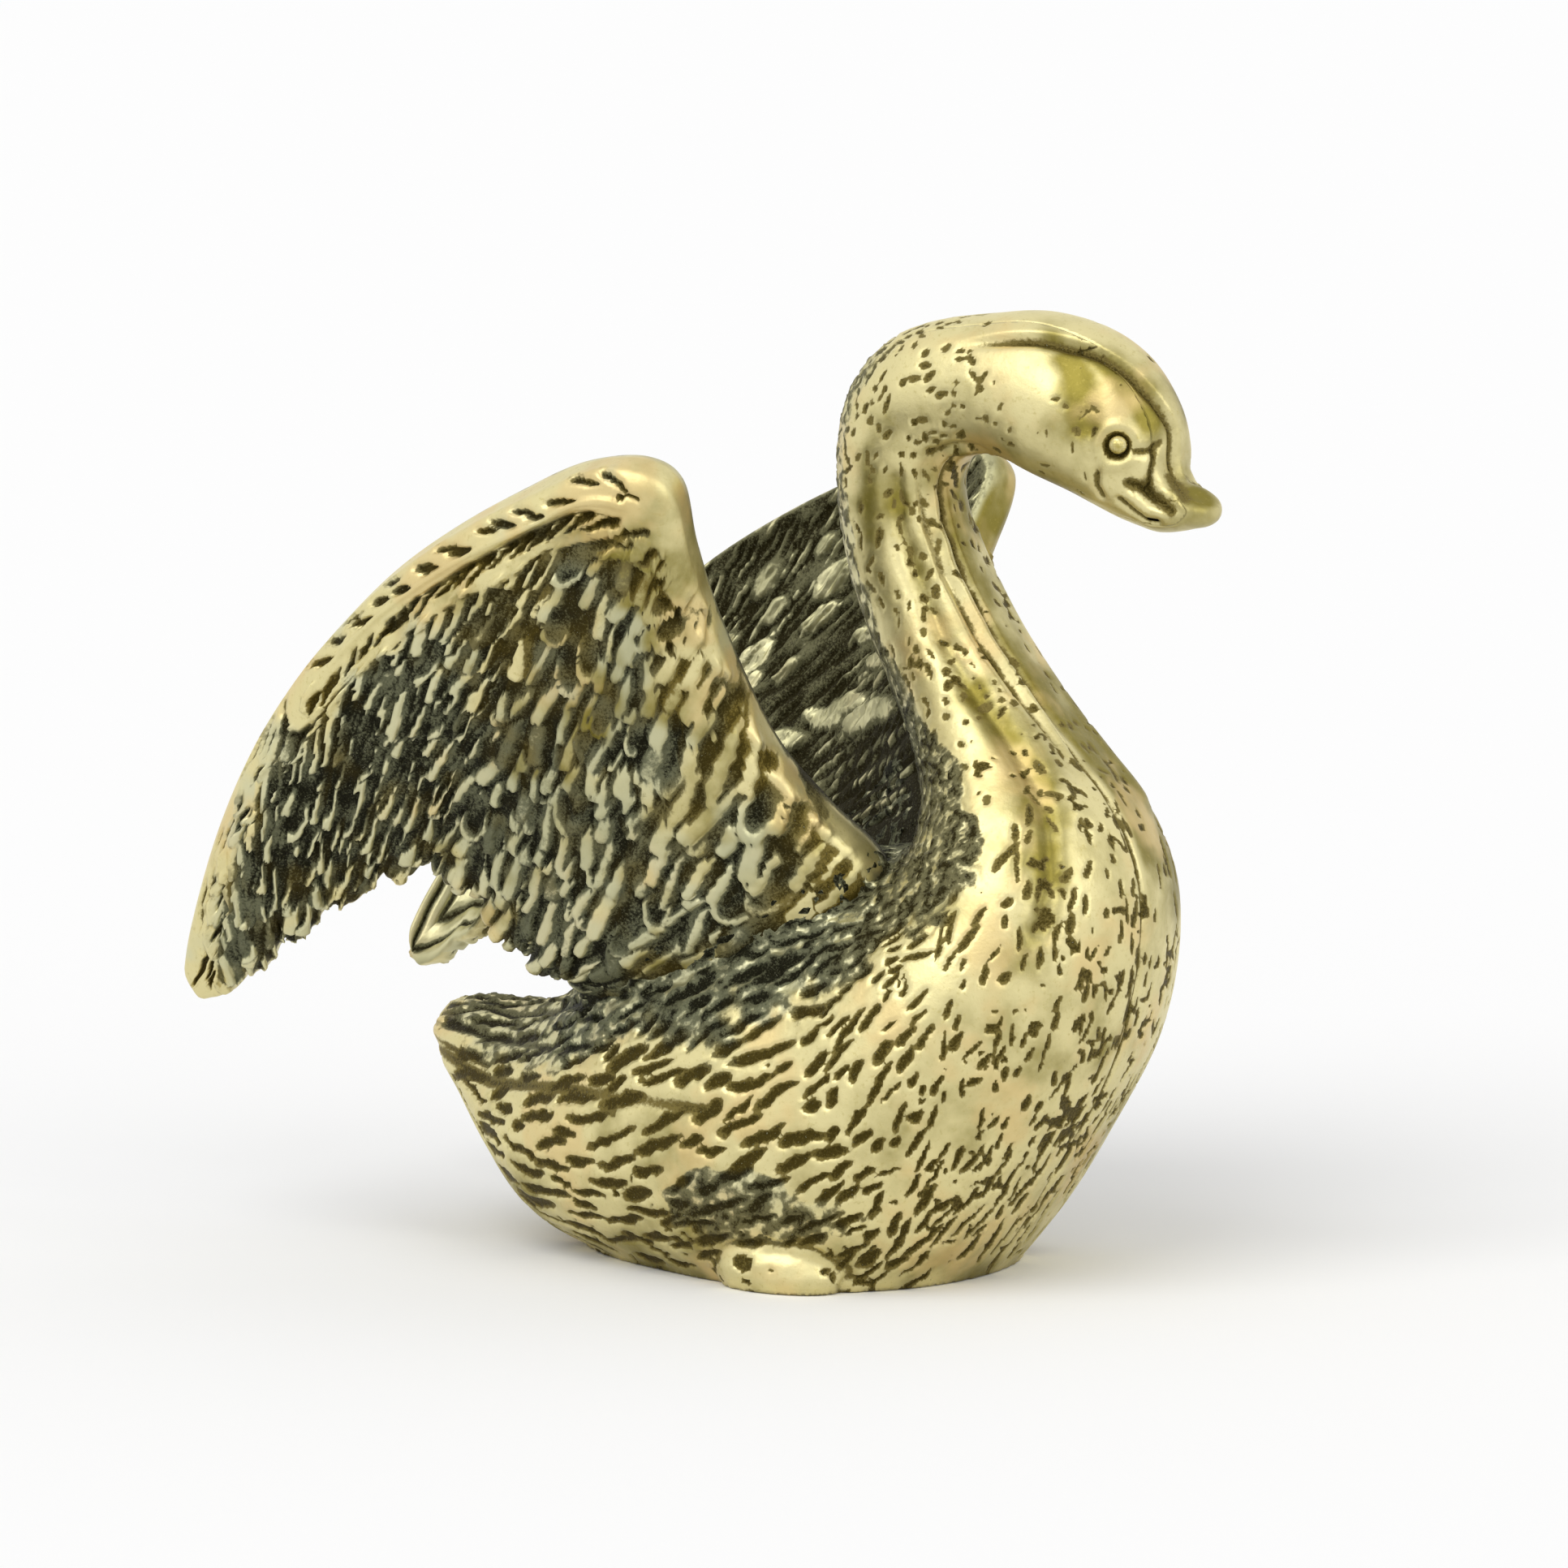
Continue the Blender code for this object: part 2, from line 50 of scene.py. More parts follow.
# Stations of the body from the tail to the tip of the bill:
# upper x, upper z, lower x, lower z, half width, lean to the left
BODY_STATIONS = (
    (-18.2, 9.3, -18.0, 8.2, 1.3, 0.0),
    (-17.4, 10.0, -17.2, 7.2, 2.5, 0.0),
    (-15.2, 10.3, -15.4, 5.4, 3.9, 0.0),
    (-12.8, 10.3, -13.2, 2.9, 5.4, 0.0),
    (-10.2, 11.4, -10.6, 0.5, 7.0, 0.0),
    (-7.0, 13.8, -7.4, -0.7, 8.3, 0.0),
    (-3.0, 16.0, -3.0, -1.8, 9.4, 0.0),
    (1.0, 17.6, 2.3, -2.9, 10.1, 0.0),
    (4.0, 18.4, 7.4, -2.2, 10.0, 0.0),
    (5.8, 18.7, 11.1, 1.2, 9.7, 0.0),
    (6.8, 18.9, 14.1, 5.6, 9.2, 0.1),
    (7.4, 19.4, 16.4, 9.5, 8.5, 0.2),
    (7.6, 20.0, 17.7, 13.6, 7.5, 0.3),
    (7.5, 20.8, 17.9, 17.4, 6.5, 0.4),
    (7.2, 21.6, 16.7, 20.7, 5.5, 0.6),
    (6.7, 22.6, 14.7, 23.1, 4.6, 0.8),
    (5.9, 24.1, 12.5, 25.5, 3.9, 1.0),
    (4.6, 26.3, 10.5, 28.0, 3.4, 1.2),
    (3.3, 28.8, 9.0, 30.4, 3.1, 1.3),
    (2.4, 31.3, 8.1, 32.3, 2.9, 1.3),
    (2.0, 34.0, 7.6, 34.2, 2.8, 1.3),
    (2.0, 36.6, 7.8, 35.2, 2.8, 1.3),
    (2.8, 39.0, 8.2, 35.7, 2.8, 1.3),
    (4.7, 40.9, 8.8, 35.9, 2.9, 1.3),
    (7.2, 41.8, 9.6, 36.0, 2.9, 1.3),
    (10.0, 42.1, 10.7, 35.8, 3.0, 1.3),
    (12.6, 42.1, 12.2, 35.2, 3.1, 1.3),
    (15.0, 41.6, 13.9, 34.6, 3.0, 1.3),
    (16.8, 40.6, 15.1, 34.1, 2.8, 1.3),
    (18.0, 39.2, 16.3, 33.6, 2.4, 1.3),
    (18.7, 37.7, 17.3, 33.3, 2.0, 1.3),
    (19.0, 36.5, 18.2, 33.1, 1.7, 1.3),
    (19.8, 35.9, 19.1, 33.2, 1.7, 1.3),
    (20.5, 35.3, 20.0, 33.4, 1.6, 1.3),
    (21.0, 34.8, 20.7, 33.9, 1.0, 1.3),
)
BELLY_SAG = 0.12
BODY_STEPS = 8
BODY_SIDES = 96

# Feet and toes, with y outwards, and the rounded tip of the bill in place of the last rows of the body
FOOT = Lump((3.9, 7.7, 0.9), (6.6, 3.4, 3.2), math.radians(7))
TOE = Lump((6.9, 6.2, 0.7), (2.2, 2.2, 2.2), 0.0)
BILL_TIP = Lump((19.45, 1.3, 34.4), (3.0, 3.1, 1.9), math.radians(20))
BILL_END_ROWS = 12
# How far the upper side of the bill is pulled in, and the middle of the hollow on its tip
BILL_DIP = (0.4, 0.0, 0.5)
BILL_HOLLOW = (20.25, 0.8, 34.95)
LUMP_ROWS = 24
LUMP_SIDES = 48

# Stations of the right wing from its root to its tip, with y outwards:
# leading x, y, z, then trailing x, y, z
WING_STATIONS = (
    (6.4, 2.4, 15.4, -7.4, 2.8, 9.8),
    (7.0, 3.6, 18.4, -8.2, 4.2, 12.2),
    (5.0, 5.0, 21.0, -8.8, 5.1, 12.9),
    (3.3, 6.7, 24.0, -9.3, 5.7, 13.2),
    (2.3, 9.2, 28.9, -10.2, 6.3, 13.9),
    (2.2, 11.3, 32.7, -11.1, 6.7, 14.9),
    (2.4, 12.9, 35.7, -12.2, 7.1, 16.2),
    (1.0, 13.6, 36.7, -13.3, 7.4, 17.0),
    (-1.6, 13.8, 36.4, -14.5, 7.5, 17.2),
    (-4.9, 13.8, 35.0, -15.7, 7.7, 16.7),
    (-8.3, 13.6, 33.3, -17.2, 7.9, 16.0),
    (-11.7, 13.3, 31.2, -18.6, 8.0, 15.2),
    (-14.9, 12.8, 28.6, -20.0, 8.1, 14.2),
    (-17.4, 12.3, 26.2, -21.1, 8.2, 13.4),
    (-20.0, 11.6, 23.1, -22.0, 8.3, 12.6),
    (-22.7, 10.6, 18.9, -23.0, 8.3, 11.7),
    (-25.0, 9.4, 14.3, -24.2, 8.4, 10.9),
    (-25.9, 8.7, 11.8, -25.2, 8.5, 10.4),
)
WING_STEPS = 16
OUTER_COLUMNS = 150
INNER_COLUMNS = 96
ARM_THICKNESS_ROOT = 3.6
ARM_THICKNESS = 2.5
TIP_THICKNESS = 1.3
TRAILING_THICKNESS = 0.9
THIN_FROM = 0.6
ROOT_PAD_END = 0.3
ROOT_PAD_FADE = 0.2
WING_CAMBER = 1.6
FULL_CAMBER_CHORD = 10.0
LOBE_DEPTH = 0.9
LOBE_COUNT = 9
LOBE_RISE = 0.2
TIP_FADE = 0.25
# Span from which the tip shrinks, and the share of its size that is left at the end
TIP_ROUND = 0.984
TIP_END = 0.2
SMALL_LOBE_DEPTH = 0.26
SMALL_LOBE_COUNT = 34
LEFT_WING_OPENING = math.radians(7.5)
LEFT_WING_SWEEP = math.radians(5)
LEFT_WING_SCALE = 0.96
# The part of a wing that swells the body: its length in stations, its coarser columns, its size
STUB_STATIONS = 3
STUB_COLUMN_STEP = 6
STUB_SWELL = (1.06, 0.93)

# Feathers of a wing. Depths are measured back from the leading edge.
FIRST_FEATHERS = 0.95
FEATHER_STEP = 1.75
FEATHER_PITCH = 1.16
FEATHER_SHOULDER = 0.25
HOLLOW_FEATHERS = 0.1
QUILL_DEPTH = 1.6
INNER_LINE_DEPTHS = (2.2, 4.6, 7.2, 10.0, 12.6, 15.0, 17.4, 19.8, 22.2)
INNER_LOBE_DEPTHS = (4.4, 7.4, 10.2, 13.0, 16.0, 19.0)
# Rear edge of the bright band along the leading edge: span and depth
BAND_EDGE = (
    (0.0, 0.2), (0.15, 0.5), (0.23, 0.65), (0.27, 1.2), (0.31, 2.1), (0.36, 2.9), (0.40, 2.3),
    (0.5, 2.0), (0.6, 2.2), (0.67, 3.3), (0.72, 3.5), (0.745, 3.1), (0.76, 2.4), (0.772, 1.2),
    (0.778, 0.1), (0.787, 2.3), (0.83, 3.2), (0.93, 3.4), (0.965, 4.4), (1.0, 6.0),
)

# Marks: how far a warp may move a point, and how far a surface may turn away, as a cosine
WARP_REACH = 0.3
FACING_LIMIT = 0.3

# Random values along each side of the lattice of the noise, and seeds of the marks
NOISE_CELLS = 64
BODY_SEED = 11
RIGHT_WING_SEED = 3
LEFT_WING_SEED = 57
INNER_FACE_SEED_STEP = 20

# The skin of the body
VOXEL = 0.15
BASE_SNAP = 0.12
SEAM_GAP = 0.06
RECESS_DEPTH = 1.7
PLATE_CLEARANCE = 0.3

# Graver strokes: how many places are tried, and how close they lie along and across in their own sizes
STROKE_TRIES = 26000
STROKE_SPACING = (0.8, 1.15)

# The way the strokes run over the body: x, z and the angle above the x axis
FLOW = (
    (-17, 9, -30), (-13, 6, -12), (-9, 3, 6), (-8, 11, 8), (-3, 2, 16), (-2, 10, 26), (3, 4, 26),
    (3, 13, 32), (8, 16, 38), (8, 5, 34), (11, 10, 46), (13, 15, 58), (15, 9, 62), (9, 21, 78),
    (11, 24, 118), (8, 28, 118), (5, 32, 98), (4, 37, 70), (7, 40, 25), (11, 40, 0), (15, 38, -30),
    (18, 36, -40),
)

# Grooves and ridges on both sides of the body. Each has a name, a half width, a height, how dark it is,
# and its path as stations and turns in degrees from the upper rail.
BODY_LINES = (
    ("brow line", 0.17, -0.14, 0.9, ((29.5, 64), (29.9, 50), (30.1, 36), (30.1, 26))),
    ("lore ridge", 0.3, 0.06, 0.0, ((28.8, 94), (29.5, 74), (30.1, 56), (30.3, 42))),
    ("side of the forehead", 0.2, -0.14, 1.0, ((30.0, 38), (30.4, 50), (30.9, 64))),
    ("nostril recess", 0.32, -0.24, 1.0, ((29.7, 92), (30.2, 82), (30.9, 68), (31.7, 70), (32.3, 80))),
    ("nostril corner", 0.4, -0.2, 0.85, ((30.6, 72), (31.3, 66))),
    ("upper rim of the bill", 0.2, 0.14, 0.0, ((30.0, 100), (30.9, 94), (32.0, 92), (32.9, 84))),
    ("ridge beside the nostril", 0.12, 0.14, 0.0, ((31.9, 40), (32.5, 52), (33.0, 68))),
    ("hollow on the bill", 0.5, -0.22, 0.78, ((31.5, 16), (32.1, 28), (32.6, 36))),
    ("mouth", 0.15, -0.22, 0.9, ((29.4, 116), (30.0, 120), (30.8, 120), (31.5, 116))),
    ("corner of the jaw", 0.17, -0.2, 0.85, ((28.5, 104), (28.5, 116), (28.7, 126))),
    ("upper tail line", 0.3, -0.3, 1.0, ((0.4, 44), (1.5, 36), (2.1, 22), (3.2, 22), (4.8, 40))),
    ("middle tail line", 0.22, -0.2, 1.0, ((0.4, 68), (1.6, 56), (3.0, 44), (4.6, 56))),
    ("lower tail line", 0.34, -0.24, 0.9, ((0.6, 110), (2.0, 84), (3.2, 70), (5.2, 74), (7.0, 80))),
    ("line under the tail", 0.2, -0.2, 0.9, ((0.6, 90), (1.8, 76), (3.0, 62))),
)
# Soft folds and hollows, whose darkness is painted shade in dull olive brass; the edge of the fold is only a
# ridge
BODY_FOLDS_AND_SHADE = (
    ("fold of the neck", 0.5, -0.34, 0.56,
     ((20.4, 112), (19.4, 114), (18.3, 117), (17.3, 117), (16.5, 121), (15.6, 129), (14.7, 132),
      (13.9, 130), (13.2, 128), (12.5, 123))),
    ("shade along the fold", 1.0, 0.0, 0.7,
     ((16.3, 124), (15.6, 129), (14.7, 132), (13.9, 130), (13.2, 128), (12.6, 124), (12.0, 117))),
    ("side of the neck", 0.55, 0.0, 0.3, ((22.4, 86), (21.0, 78), (19.0, 76), (17.4, 80), (16.4, 84))),
    ("edge of the fold", 0.55, 0.16, 0.0, ((19.0, 138), (18.0, 139), (16.8, 141), (15.6, 149), (14.2, 148))),
    ("hollow behind the eye", 0.85, -0.24, 1.2, ((26.8, 42), (27.4, 58), (27.8, 76))),
    ("shade below the crown line", 0.6, 0.0, 0.8, ((26.4, 34), (27.6, 30), (28.6, 30), (29.4, 32))),
    ("throat", 1.3, 0.0, 0.8, ((22.4, 172), (24.0, 172), (27.0, 176))),
)
# Rough casting over the back and sides of the neck: station, and how far it reaches from the upper rail
ROUGH_REACH = (
    (9.0, 54), (10.6, 62), (11.9, 76), (12.7, 86), (13.5, 88), (14.4, 86), (15.2, 90), (15.8, 78),
    (16.6, 68), (18.0, 60), (21.0, 56), (24.0, 42),
)
# The raised band over the crown and down the brow: station and y of its right edge
CROWN_EDGE = ((24.4, -0.8), (25.8, -0.5), (27.8, 0.14), (28.7, 0.44), (29.5, 0.84), (30.0, 1.2), (31.6, 1.3))
# Around the middle of each eye bead: radii of the socket's floor and rim, and of the ring
EYE_SOCKET_FLOOR = 0.56
EYE_SOCKET_RIM = 0.74
EYE_RING = 0.98

# Studio, in metres
CAMERA_TURN = math.radians(32)
CAMERA_RISE = math.radians(8)
CAMERA_DISTANCE = 0.6
FRAME_WIDTH = 0.06925
FRAME_RIGHT = -0.000323
FRAME_UP = 0.020717
# Each lamp's name, its turn and rise in degrees, and its strength
LAMPS = (("key", -8, 48, 1.05), ("fill", 80, 30, 0.6))
LAMP_SPREAD = math.radians(46)
SKY_LIGHT = 0.67
SENSOR_WIDTH = 36
NEAREST_SEEN = 0.01
FARTHEST_SEEN = 20
FLOOR_RADIUS = 4.0
FLOOR_DROP = 0.00005
FLOOR_WHITE = 0.97

# Colours as they are seen
BRIGHT_BRASS = "DED39D"
PALE_BRASS = "CACAA8"
WARM_BRASS = "DEC489"
# Dull olive brass, which is also the colour of the painted shade
DULL_AND_SHADE_BRASS = "857A38"
STAINED_BRASS = "AE9F56"
BROWN_PATINA = "7A6B34"
DEEP_BROWN = "473C12"
SLATE_PATINA = "6C6D54"
DEEP_SLATE = "18170A"
BASE_STAIN = "4C4022"


# Curves and sections

def smooth_rows(table, steps):
    """Rows of a smooth curve through the rows of a table, with some steps to each span."""
    points = np.array(table)
    padded = np.vstack((2 * points[0] - points[1], points, 2 * points[-1] - points[-2]))
    smooth = []
    for span in range(len(points) - 1):
        before, start, end, after = padded[span : span + 4]
        for step in range(steps):
            t = step / steps
            bend = 2 * before - 5 * start + 4 * end - after
            twist = 3 * (start - end) + after - before
            smooth.append(start + 0.5 * t * (end - before + t * (bend + t * twist)))
    smooth.append(points[-1])
    return np.array(smooth)


def even_turns(count):
    return np.linspace(0, 2 * math.pi, count, endpoint=False)


def section_points(rows, turns):
    """Points of the body's sections at turns from the upper rail round by the left side."""
    upper_x, upper_z, lower_x, lower_z, half_width, lean = rows
    across = np.sin(turns)
    along = np.cos(turns) - BELLY_SAG * across**2
    x = (upper_x + lower_x) / 2 + (upper_x - lower_x) / 2 * along
    z = (upper_z + lower_z) / 2 + (upper_z - lower_z) / 2 * along
    return np.stack((x, lean + half_width * across, z), axis=-1)


def body_grid():
    """Points of the body as rows of sections."""
    rows = smooth_rows(BODY_STATIONS, BODY_STEPS)
    return section_points(rows.T[:, :, None], even_turns(BODY_SIDES))


def unit(vectors):
    return vectors / (np.linalg.norm(vectors, axis=-1, keepdims=True) + 1e-12)


def on_surface(directions, normals):
    """Directions laid flat into a surface."""
    return unit(directions - normals * (directions * normals).sum(axis=-1, keepdims=True))


def ramp(values, start, end):
    """0 before start, 1 after end and smooth between them. Start may be the larger one."""
    share = np.clip((values - start) / (end - start), 0, 1)
    return share * share * (3 - 2 * share)


def between(values, start, full, last, end):
    """0 up to start, 1 from full to last and 0 from end on, and smooth between them."""
    return ramp(values, start, full) * ramp(values, end, last)


def bell(values, width):
    """1 at 0, and fading to 0 over about two widths on both sides."""
    return np.exp(-((values / width) ** 2))


def lattice_noise(points, cell, seed):
    """Smooth noise from -1 to 1, with one random value at each corner of a lattice of cells."""
    values = np.random.default_rng(seed).uniform(-1, 1, (NOISE_CELLS, NOISE_CELLS, NOISE_CELLS))
    scaled = points / cell
    low = np.floor(scaled).astype(int)
    share = ramp(scaled - low, 0, 1)
    total = np.zeros(len(points))
    for corner in itertools.product((0, 1), repeat=3):
        weight = np.prod(np.where(corner, share, 1 - share), axis=1)
        x, y, z = ((low + corner) % NOISE_CELLS).T
        total += weight * values[x, y, z]
    return total


def noise_layers(points, seed, *layers):
    """Noise in layers, each with its weight and cell size."""
    return sum(weight * lattice_noise(points, cell, seed + number)
               for number, (weight, cell) in enumerate(layers))


# Meshes

def mesh_of(points, faces, name):
    mesh = bpy.data.meshes.new(name)
    mesh.from_pydata(np.asarray(points).tolist(), [], [list(face) for face in faces])
    mesh.update()
    return mesh


def tube_faces(rows, sides):
    """Quads of a closed tube of rings, with its two end caps."""
    row, side = np.meshgrid(np.arange(rows - 1), np.arange(sides), indexing="ij")
    here = row * sides + side
    beside = row * sides + (side + 1) % sides
    quads = np.stack((here, beside, beside + sides, here + sides), axis=2).reshape(-1, 4)
    first = np.arange(sides)[::-1]
    last = np.arange(sides) + (rows - 1) * sides
    return quads.tolist() + [first.tolist(), last.tolist()]


def finished_mesh(form, name):
    """The mesh of a form, which is freed."""
    mesh = bpy.data.meshes.new(name)
    form.to_mesh(mesh)
    form.free()
    return mesh


def cut_off(form, **plane):
    """Cuts a form along a plane and closes the cut."""
    geometry = form.verts[:] + form.edges[:] + form.faces[:]
    bmesh.ops.bisect_plane(form, geom=geometry, **plane)
    bmesh.ops.holes_fill(form, edges=[rim for rim in form.edges if rim.is_boundary])


def vertex_array(mesh):
    points = np.empty(len(mesh.vertices) * 3)
    mesh.vertices.foreach_get("co", points)
    return points.reshape(-1, 3)


def quad_array(mesh):
    quads = np.empty(len(mesh.polygons) * 4, dtype=int)
    mesh.polygons.foreach_get("vertices", quads)
    return quads.reshape(-1, 4)


def quad_normals(points, quads):
    """Normals of the points of a mesh of quads."""
    first, second, third, fourth = (points[quads[:, corner]] for corner in range(4))
    area = np.cross(third - first, fourth - second)
    total = np.zeros_like(points)
    for axis in range(3):
        for corner in range(4):
            total[:, axis] += np.bincount(quads[:, corner], area[:, axis], len(points))
    return unit(total)


def relax(points, quads, weight, rounds):
    """Each round moves points towards the middle of their neighbours, by their weight."""
    ends = np.vstack((quads[:, (0, 1)], quads[:, (1, 2)], quads[:, (2, 3)], quads[:, (3, 0)]))
    count = np.bincount(ends[:, 0], minlength=len(points)) + np.bincount(ends[:, 1], minlength=len(points))
    for _ in range(rounds):
        middle = np.empty_like(points)
        for axis in range(3):
            middle[:, axis] = np.bincount(ends[:, 0], points[ends[:, 1], axis], len(points))
            middle[:, axis] += np.bincount(ends[:, 1], points[ends[:, 0], axis], len(points))
        middle /= count[:, None]
        points = points + weight[:, None] * (middle - points)
    return points


def point_tree(points):
    tree = KDTree(len(points))
    for index, point in enumerate(points.tolist()):
        tree.insert(point, index)
    tree.balance()
    return tree


def nearest(tree, points):
    """Index of the nearest point of a tree for each point."""
    return np.array([tree.find(point)[1] for point in points.tolist()])


def around_mark(tree, points, normals, mark):
    """Numbers of the points near a mark that face its way, and their place along and across it.

    The tree holds the points before they were warped, so the search reaches a little further.
    """
    found = tree.find_range(mark.centre, mark.half_length + WARP_REACH)
    near = np.array([index for _, index, _ in found], dtype=int)
    near = near[normals[near] @ mark.outward > FACING_LIMIT]
    offset = points[near] - mark.centre
    along = offset @ mark.along / mark.half_length
    across = offset @ np.cross(mark.outward, mark.along) / mark.half_width
    return near, along, across


def stamp(tree, points, normals, marks, taper=0.35, bluntness=2):
    """How far each point lies inside the marks, from 0 on a rim to 1 in a middle, times their strength."""
    cover = np.zeros(len(points))
    for mark in marks:
        near, along, across = around_mark(tree, points, normals, mark)
        inside = 1 - np.abs(along) ** bluntness - (across / (1 - taper * along)) ** 2
        cover[near] = np.maximum(cover[near], mark.strength * inside)
    return cover


def feather_outline(along, across):
    """How far out a place on a feather lies. It is 1 on the rim, which is round at the tip."""
    tip = np.maximum(0, (along - FEATHER_SHOULDER) / (1 - FEATHER_SHOULDER))
    return tip**2 + across**2


def lay_feathers(tree, points, normals, feathers):
    """Place of each point on the feather that covers it, along and across from -1 to 1, and its number.

    A later feather covers the earlier ones, and points outside them all have the number -1.
    """
    places = np.zeros((len(points), 2))
    owner = np.full(len(points), -1)
    for number, feather in enumerate(feathers):
        near, along, across = around_mark(tree, points, normals, feather)
        inside = (feather_outline(along, across) < 1) & (along > -1)
        owner[near[inside]] = number
        places[near[inside]] = np.stack((along, across), axis=1)[inside]
    return places[:, 0], places[:, 1], owner


def spread_marks(marks):
    """Numbers of the marks that are left when each one that crowds an earlier one is dropped."""
    spacing_along, spacing_across = STROKE_SPACING
    kept = []
    centres = np.empty((len(marks), 3))
    lengths = np.empty(len(marks))
    widths = np.empty(len(marks))
    for number, mark in enumerate(marks):
        count = len(kept)
        offset = centres[:count] - mark.centre
        side = np.cross(mark.outward, mark.along)
        along = offset @ mark.along / (spacing_along * (lengths[:count] + mark.half_length))
        across = offset @ side / (spacing_across * (widths[:count] + mark.half_width))
        depth = offset @ mark.outward / 2
        if count and (along**2 + across**2 + depth**2).min() < 1:
            continue
        centres[count] = mark.centre
        lengths[count] = mark.half_length
        widths[count] = mark.half_width
        kept.append(number)
    return kept


def turned(direction, axis, angle):
    """A direction turned about an axis that is square to it."""
    return direction * math.cos(angle) + np.cross(axis, direction) * math.sin(angle)


def warped(points, cell, size, seed):
    """Points moved a little by noise, so that what is stamped at them gets ragged rims."""
    return points + size * np.stack([lattice_noise(points, cell, seed + axis) for axis in range(3)], axis=1)


# Wings

def wing_edges():
    """Leading and trailing points along the right wing, with a lobed trailing edge."""
    rows = smooth_rows(WING_STATIONS, WING_STEPS)
    lead, trail = rows[:, :3], rows[:, 3:]
    span = np.linspace(0, 1, len(rows))
    lobe = np.abs(np.sin(math.pi * LOBE_COUNT * span)) - 0.5
    small = (np.abs(np.sin(math.pi * SMALL_LOBE_COUNT * span)) - 0.6) * (0.35 + 0.65 * ramp(span, 0.62, 0.5))
    reach = LOBE_DEPTH * lobe + SMALL_LOBE_DEPTH * small
    reach *= np.minimum(1, span / LOBE_RISE) * np.minimum(1, (1 - span) / TIP_FADE)
    return lead, trail + unit(trail - lead) * reach[:, None]


def wing_grid():
    """Points of the right wing in rows along its span, and the span, chord share and face of each."""
    lead, trail = wing_edges()
    span = np.linspace(0, 1, len(lead))[:, None]
    chord = np.linalg.norm(trail - lead, axis=1)[:, None]
    dense_ends = (1 - np.cos(np.linspace(0, math.pi, OUTER_COLUMNS))) / 2
    outer = 0.35 * dense_ends + 0.65 * np.linspace(0, 1, OUTER_COLUMNS)
    inner = np.linspace(1, 0, INNER_COLUMNS + 2)[1:-1]
    share = np.concatenate((outer, inner))[None, :]
    face = np.concatenate((np.ones(OUTER_COLUMNS), -np.ones(INNER_COLUMNS)))[None, :]
    ends = lead + trail
    along = np.gradient(ends, axis=0)
    normal = unit(np.cross(trail - lead, along))[:, None, :]
    root = np.clip((ROOT_PAD_END - span) / ROOT_PAD_FADE, 0, 1)
    arm = ARM_THICKNESS + (ARM_THICKNESS_ROOT - ARM_THICKNESS) * root
    arm = arm + (TIP_THICKNESS - ARM_THICKNESS) * span**3
    trailing = TRAILING_THICKNESS + (ARM_THICKNESS_ROOT - TRAILING_THICKNESS) * root
    half = (arm + (trailing - arm) * np.minimum(1, share / THIN_FROM)) / 2
    inward = np.minimum(1, np.minimum(share, 1 - share) * chord / half)
    height = face * half * np.sqrt(1 - (1 - inward) ** 2)
    camber = WING_CAMBER * 4 * share * (1 - share) * np.minimum(1, chord / FULL_CAMBER_CHORD)
    middle = lead[:, None, :] * (1 - share[:, :, None]) + trail[:, None, :] * share[:, :, None]
    points = middle + normal * (camber + height)[:, :, None]
    past = np.clip((span - TIP_ROUND) / (1 - TIP_ROUND), 0, 1)
    size = np.sqrt(1 - (1 - TIP_END**2) * past**2)[:, :, None]
    axis = (ends / 2)[:, None, :]
    points = axis + (points - axis) * size
    keys = np.stack(np.broadcast_arrays(span, share, face, chord), axis=2)
    return points, keys


def pose_wing(points, side):
    """Points of the wing drawing on their side of the swan. The left wing is smaller and opened wider."""
    front = np.array(WING_STATIONS[0][:3])
    rear = np.array(WING_STATIONS[0][3:])
    placing = Matrix.Identity(3)
    if side > 0:
        sweep = Matrix.Rotation(LEFT_WING_SWEEP, 3, "Z")
        opening = Matrix.Rotation(-LEFT_WING_OPENING, 3, Vector(front - rear).normalized())
        placing = LEFT_WING_SCALE * (sweep @ opening)
    placed = front + (points - front) @ np.array(placing).T
    return placed * (1, side, 1)


def measured_wing(side):
    """A wing with its normals, directions and places, and the faces of its tube."""
    drawn, keys = wing_grid()
    grid = pose_wing(drawn, side)
    faces = tube_faces(*grid.shape[:2])
    if side < 0:
        faces = [face[::-1] for face in faces]
    normals = quad_normals(grid.reshape(-1, 3), np.array(faces[:-2])).reshape(grid.shape)
    chordward = on_surface(np.gradient(grid, axis=1) * keys[:, :, 2:3], normals)
    tipward = on_surface(np.gradient(grid, axis=0), normals)
    return Wing(grid, normals, chordward, tipward, keys[:, 0, 0], keys[0, :, 1], keys[:, 0, 3]), faces


def wing_mark(wing, outer, span, depth, heading, half_length, half_width, strength=1.0):
    """A mark at a depth behind the leading edge, along the chord and turned by its heading to the tip."""
    row = int(np.clip(round(span * (len(wing.span) - 1)), 2, len(wing.span) - 3))
    columns = slice(2, OUTER_COLUMNS - 2) if outer else slice(OUTER_COLUMNS + 2, -2)
    column = columns.start + np.abs(wing.share[columns] * wing.chord[row] - depth).argmin()
    normal = wing.normals[row, column]
    along = math.cos(heading) * wing.chordward[row, column] + math.sin(heading) * wing.tipward[row, column]
    along = on_surface(along, normal)
    return Mark(wing.grid[row, column], along, normal, half_length, half_width, strength)


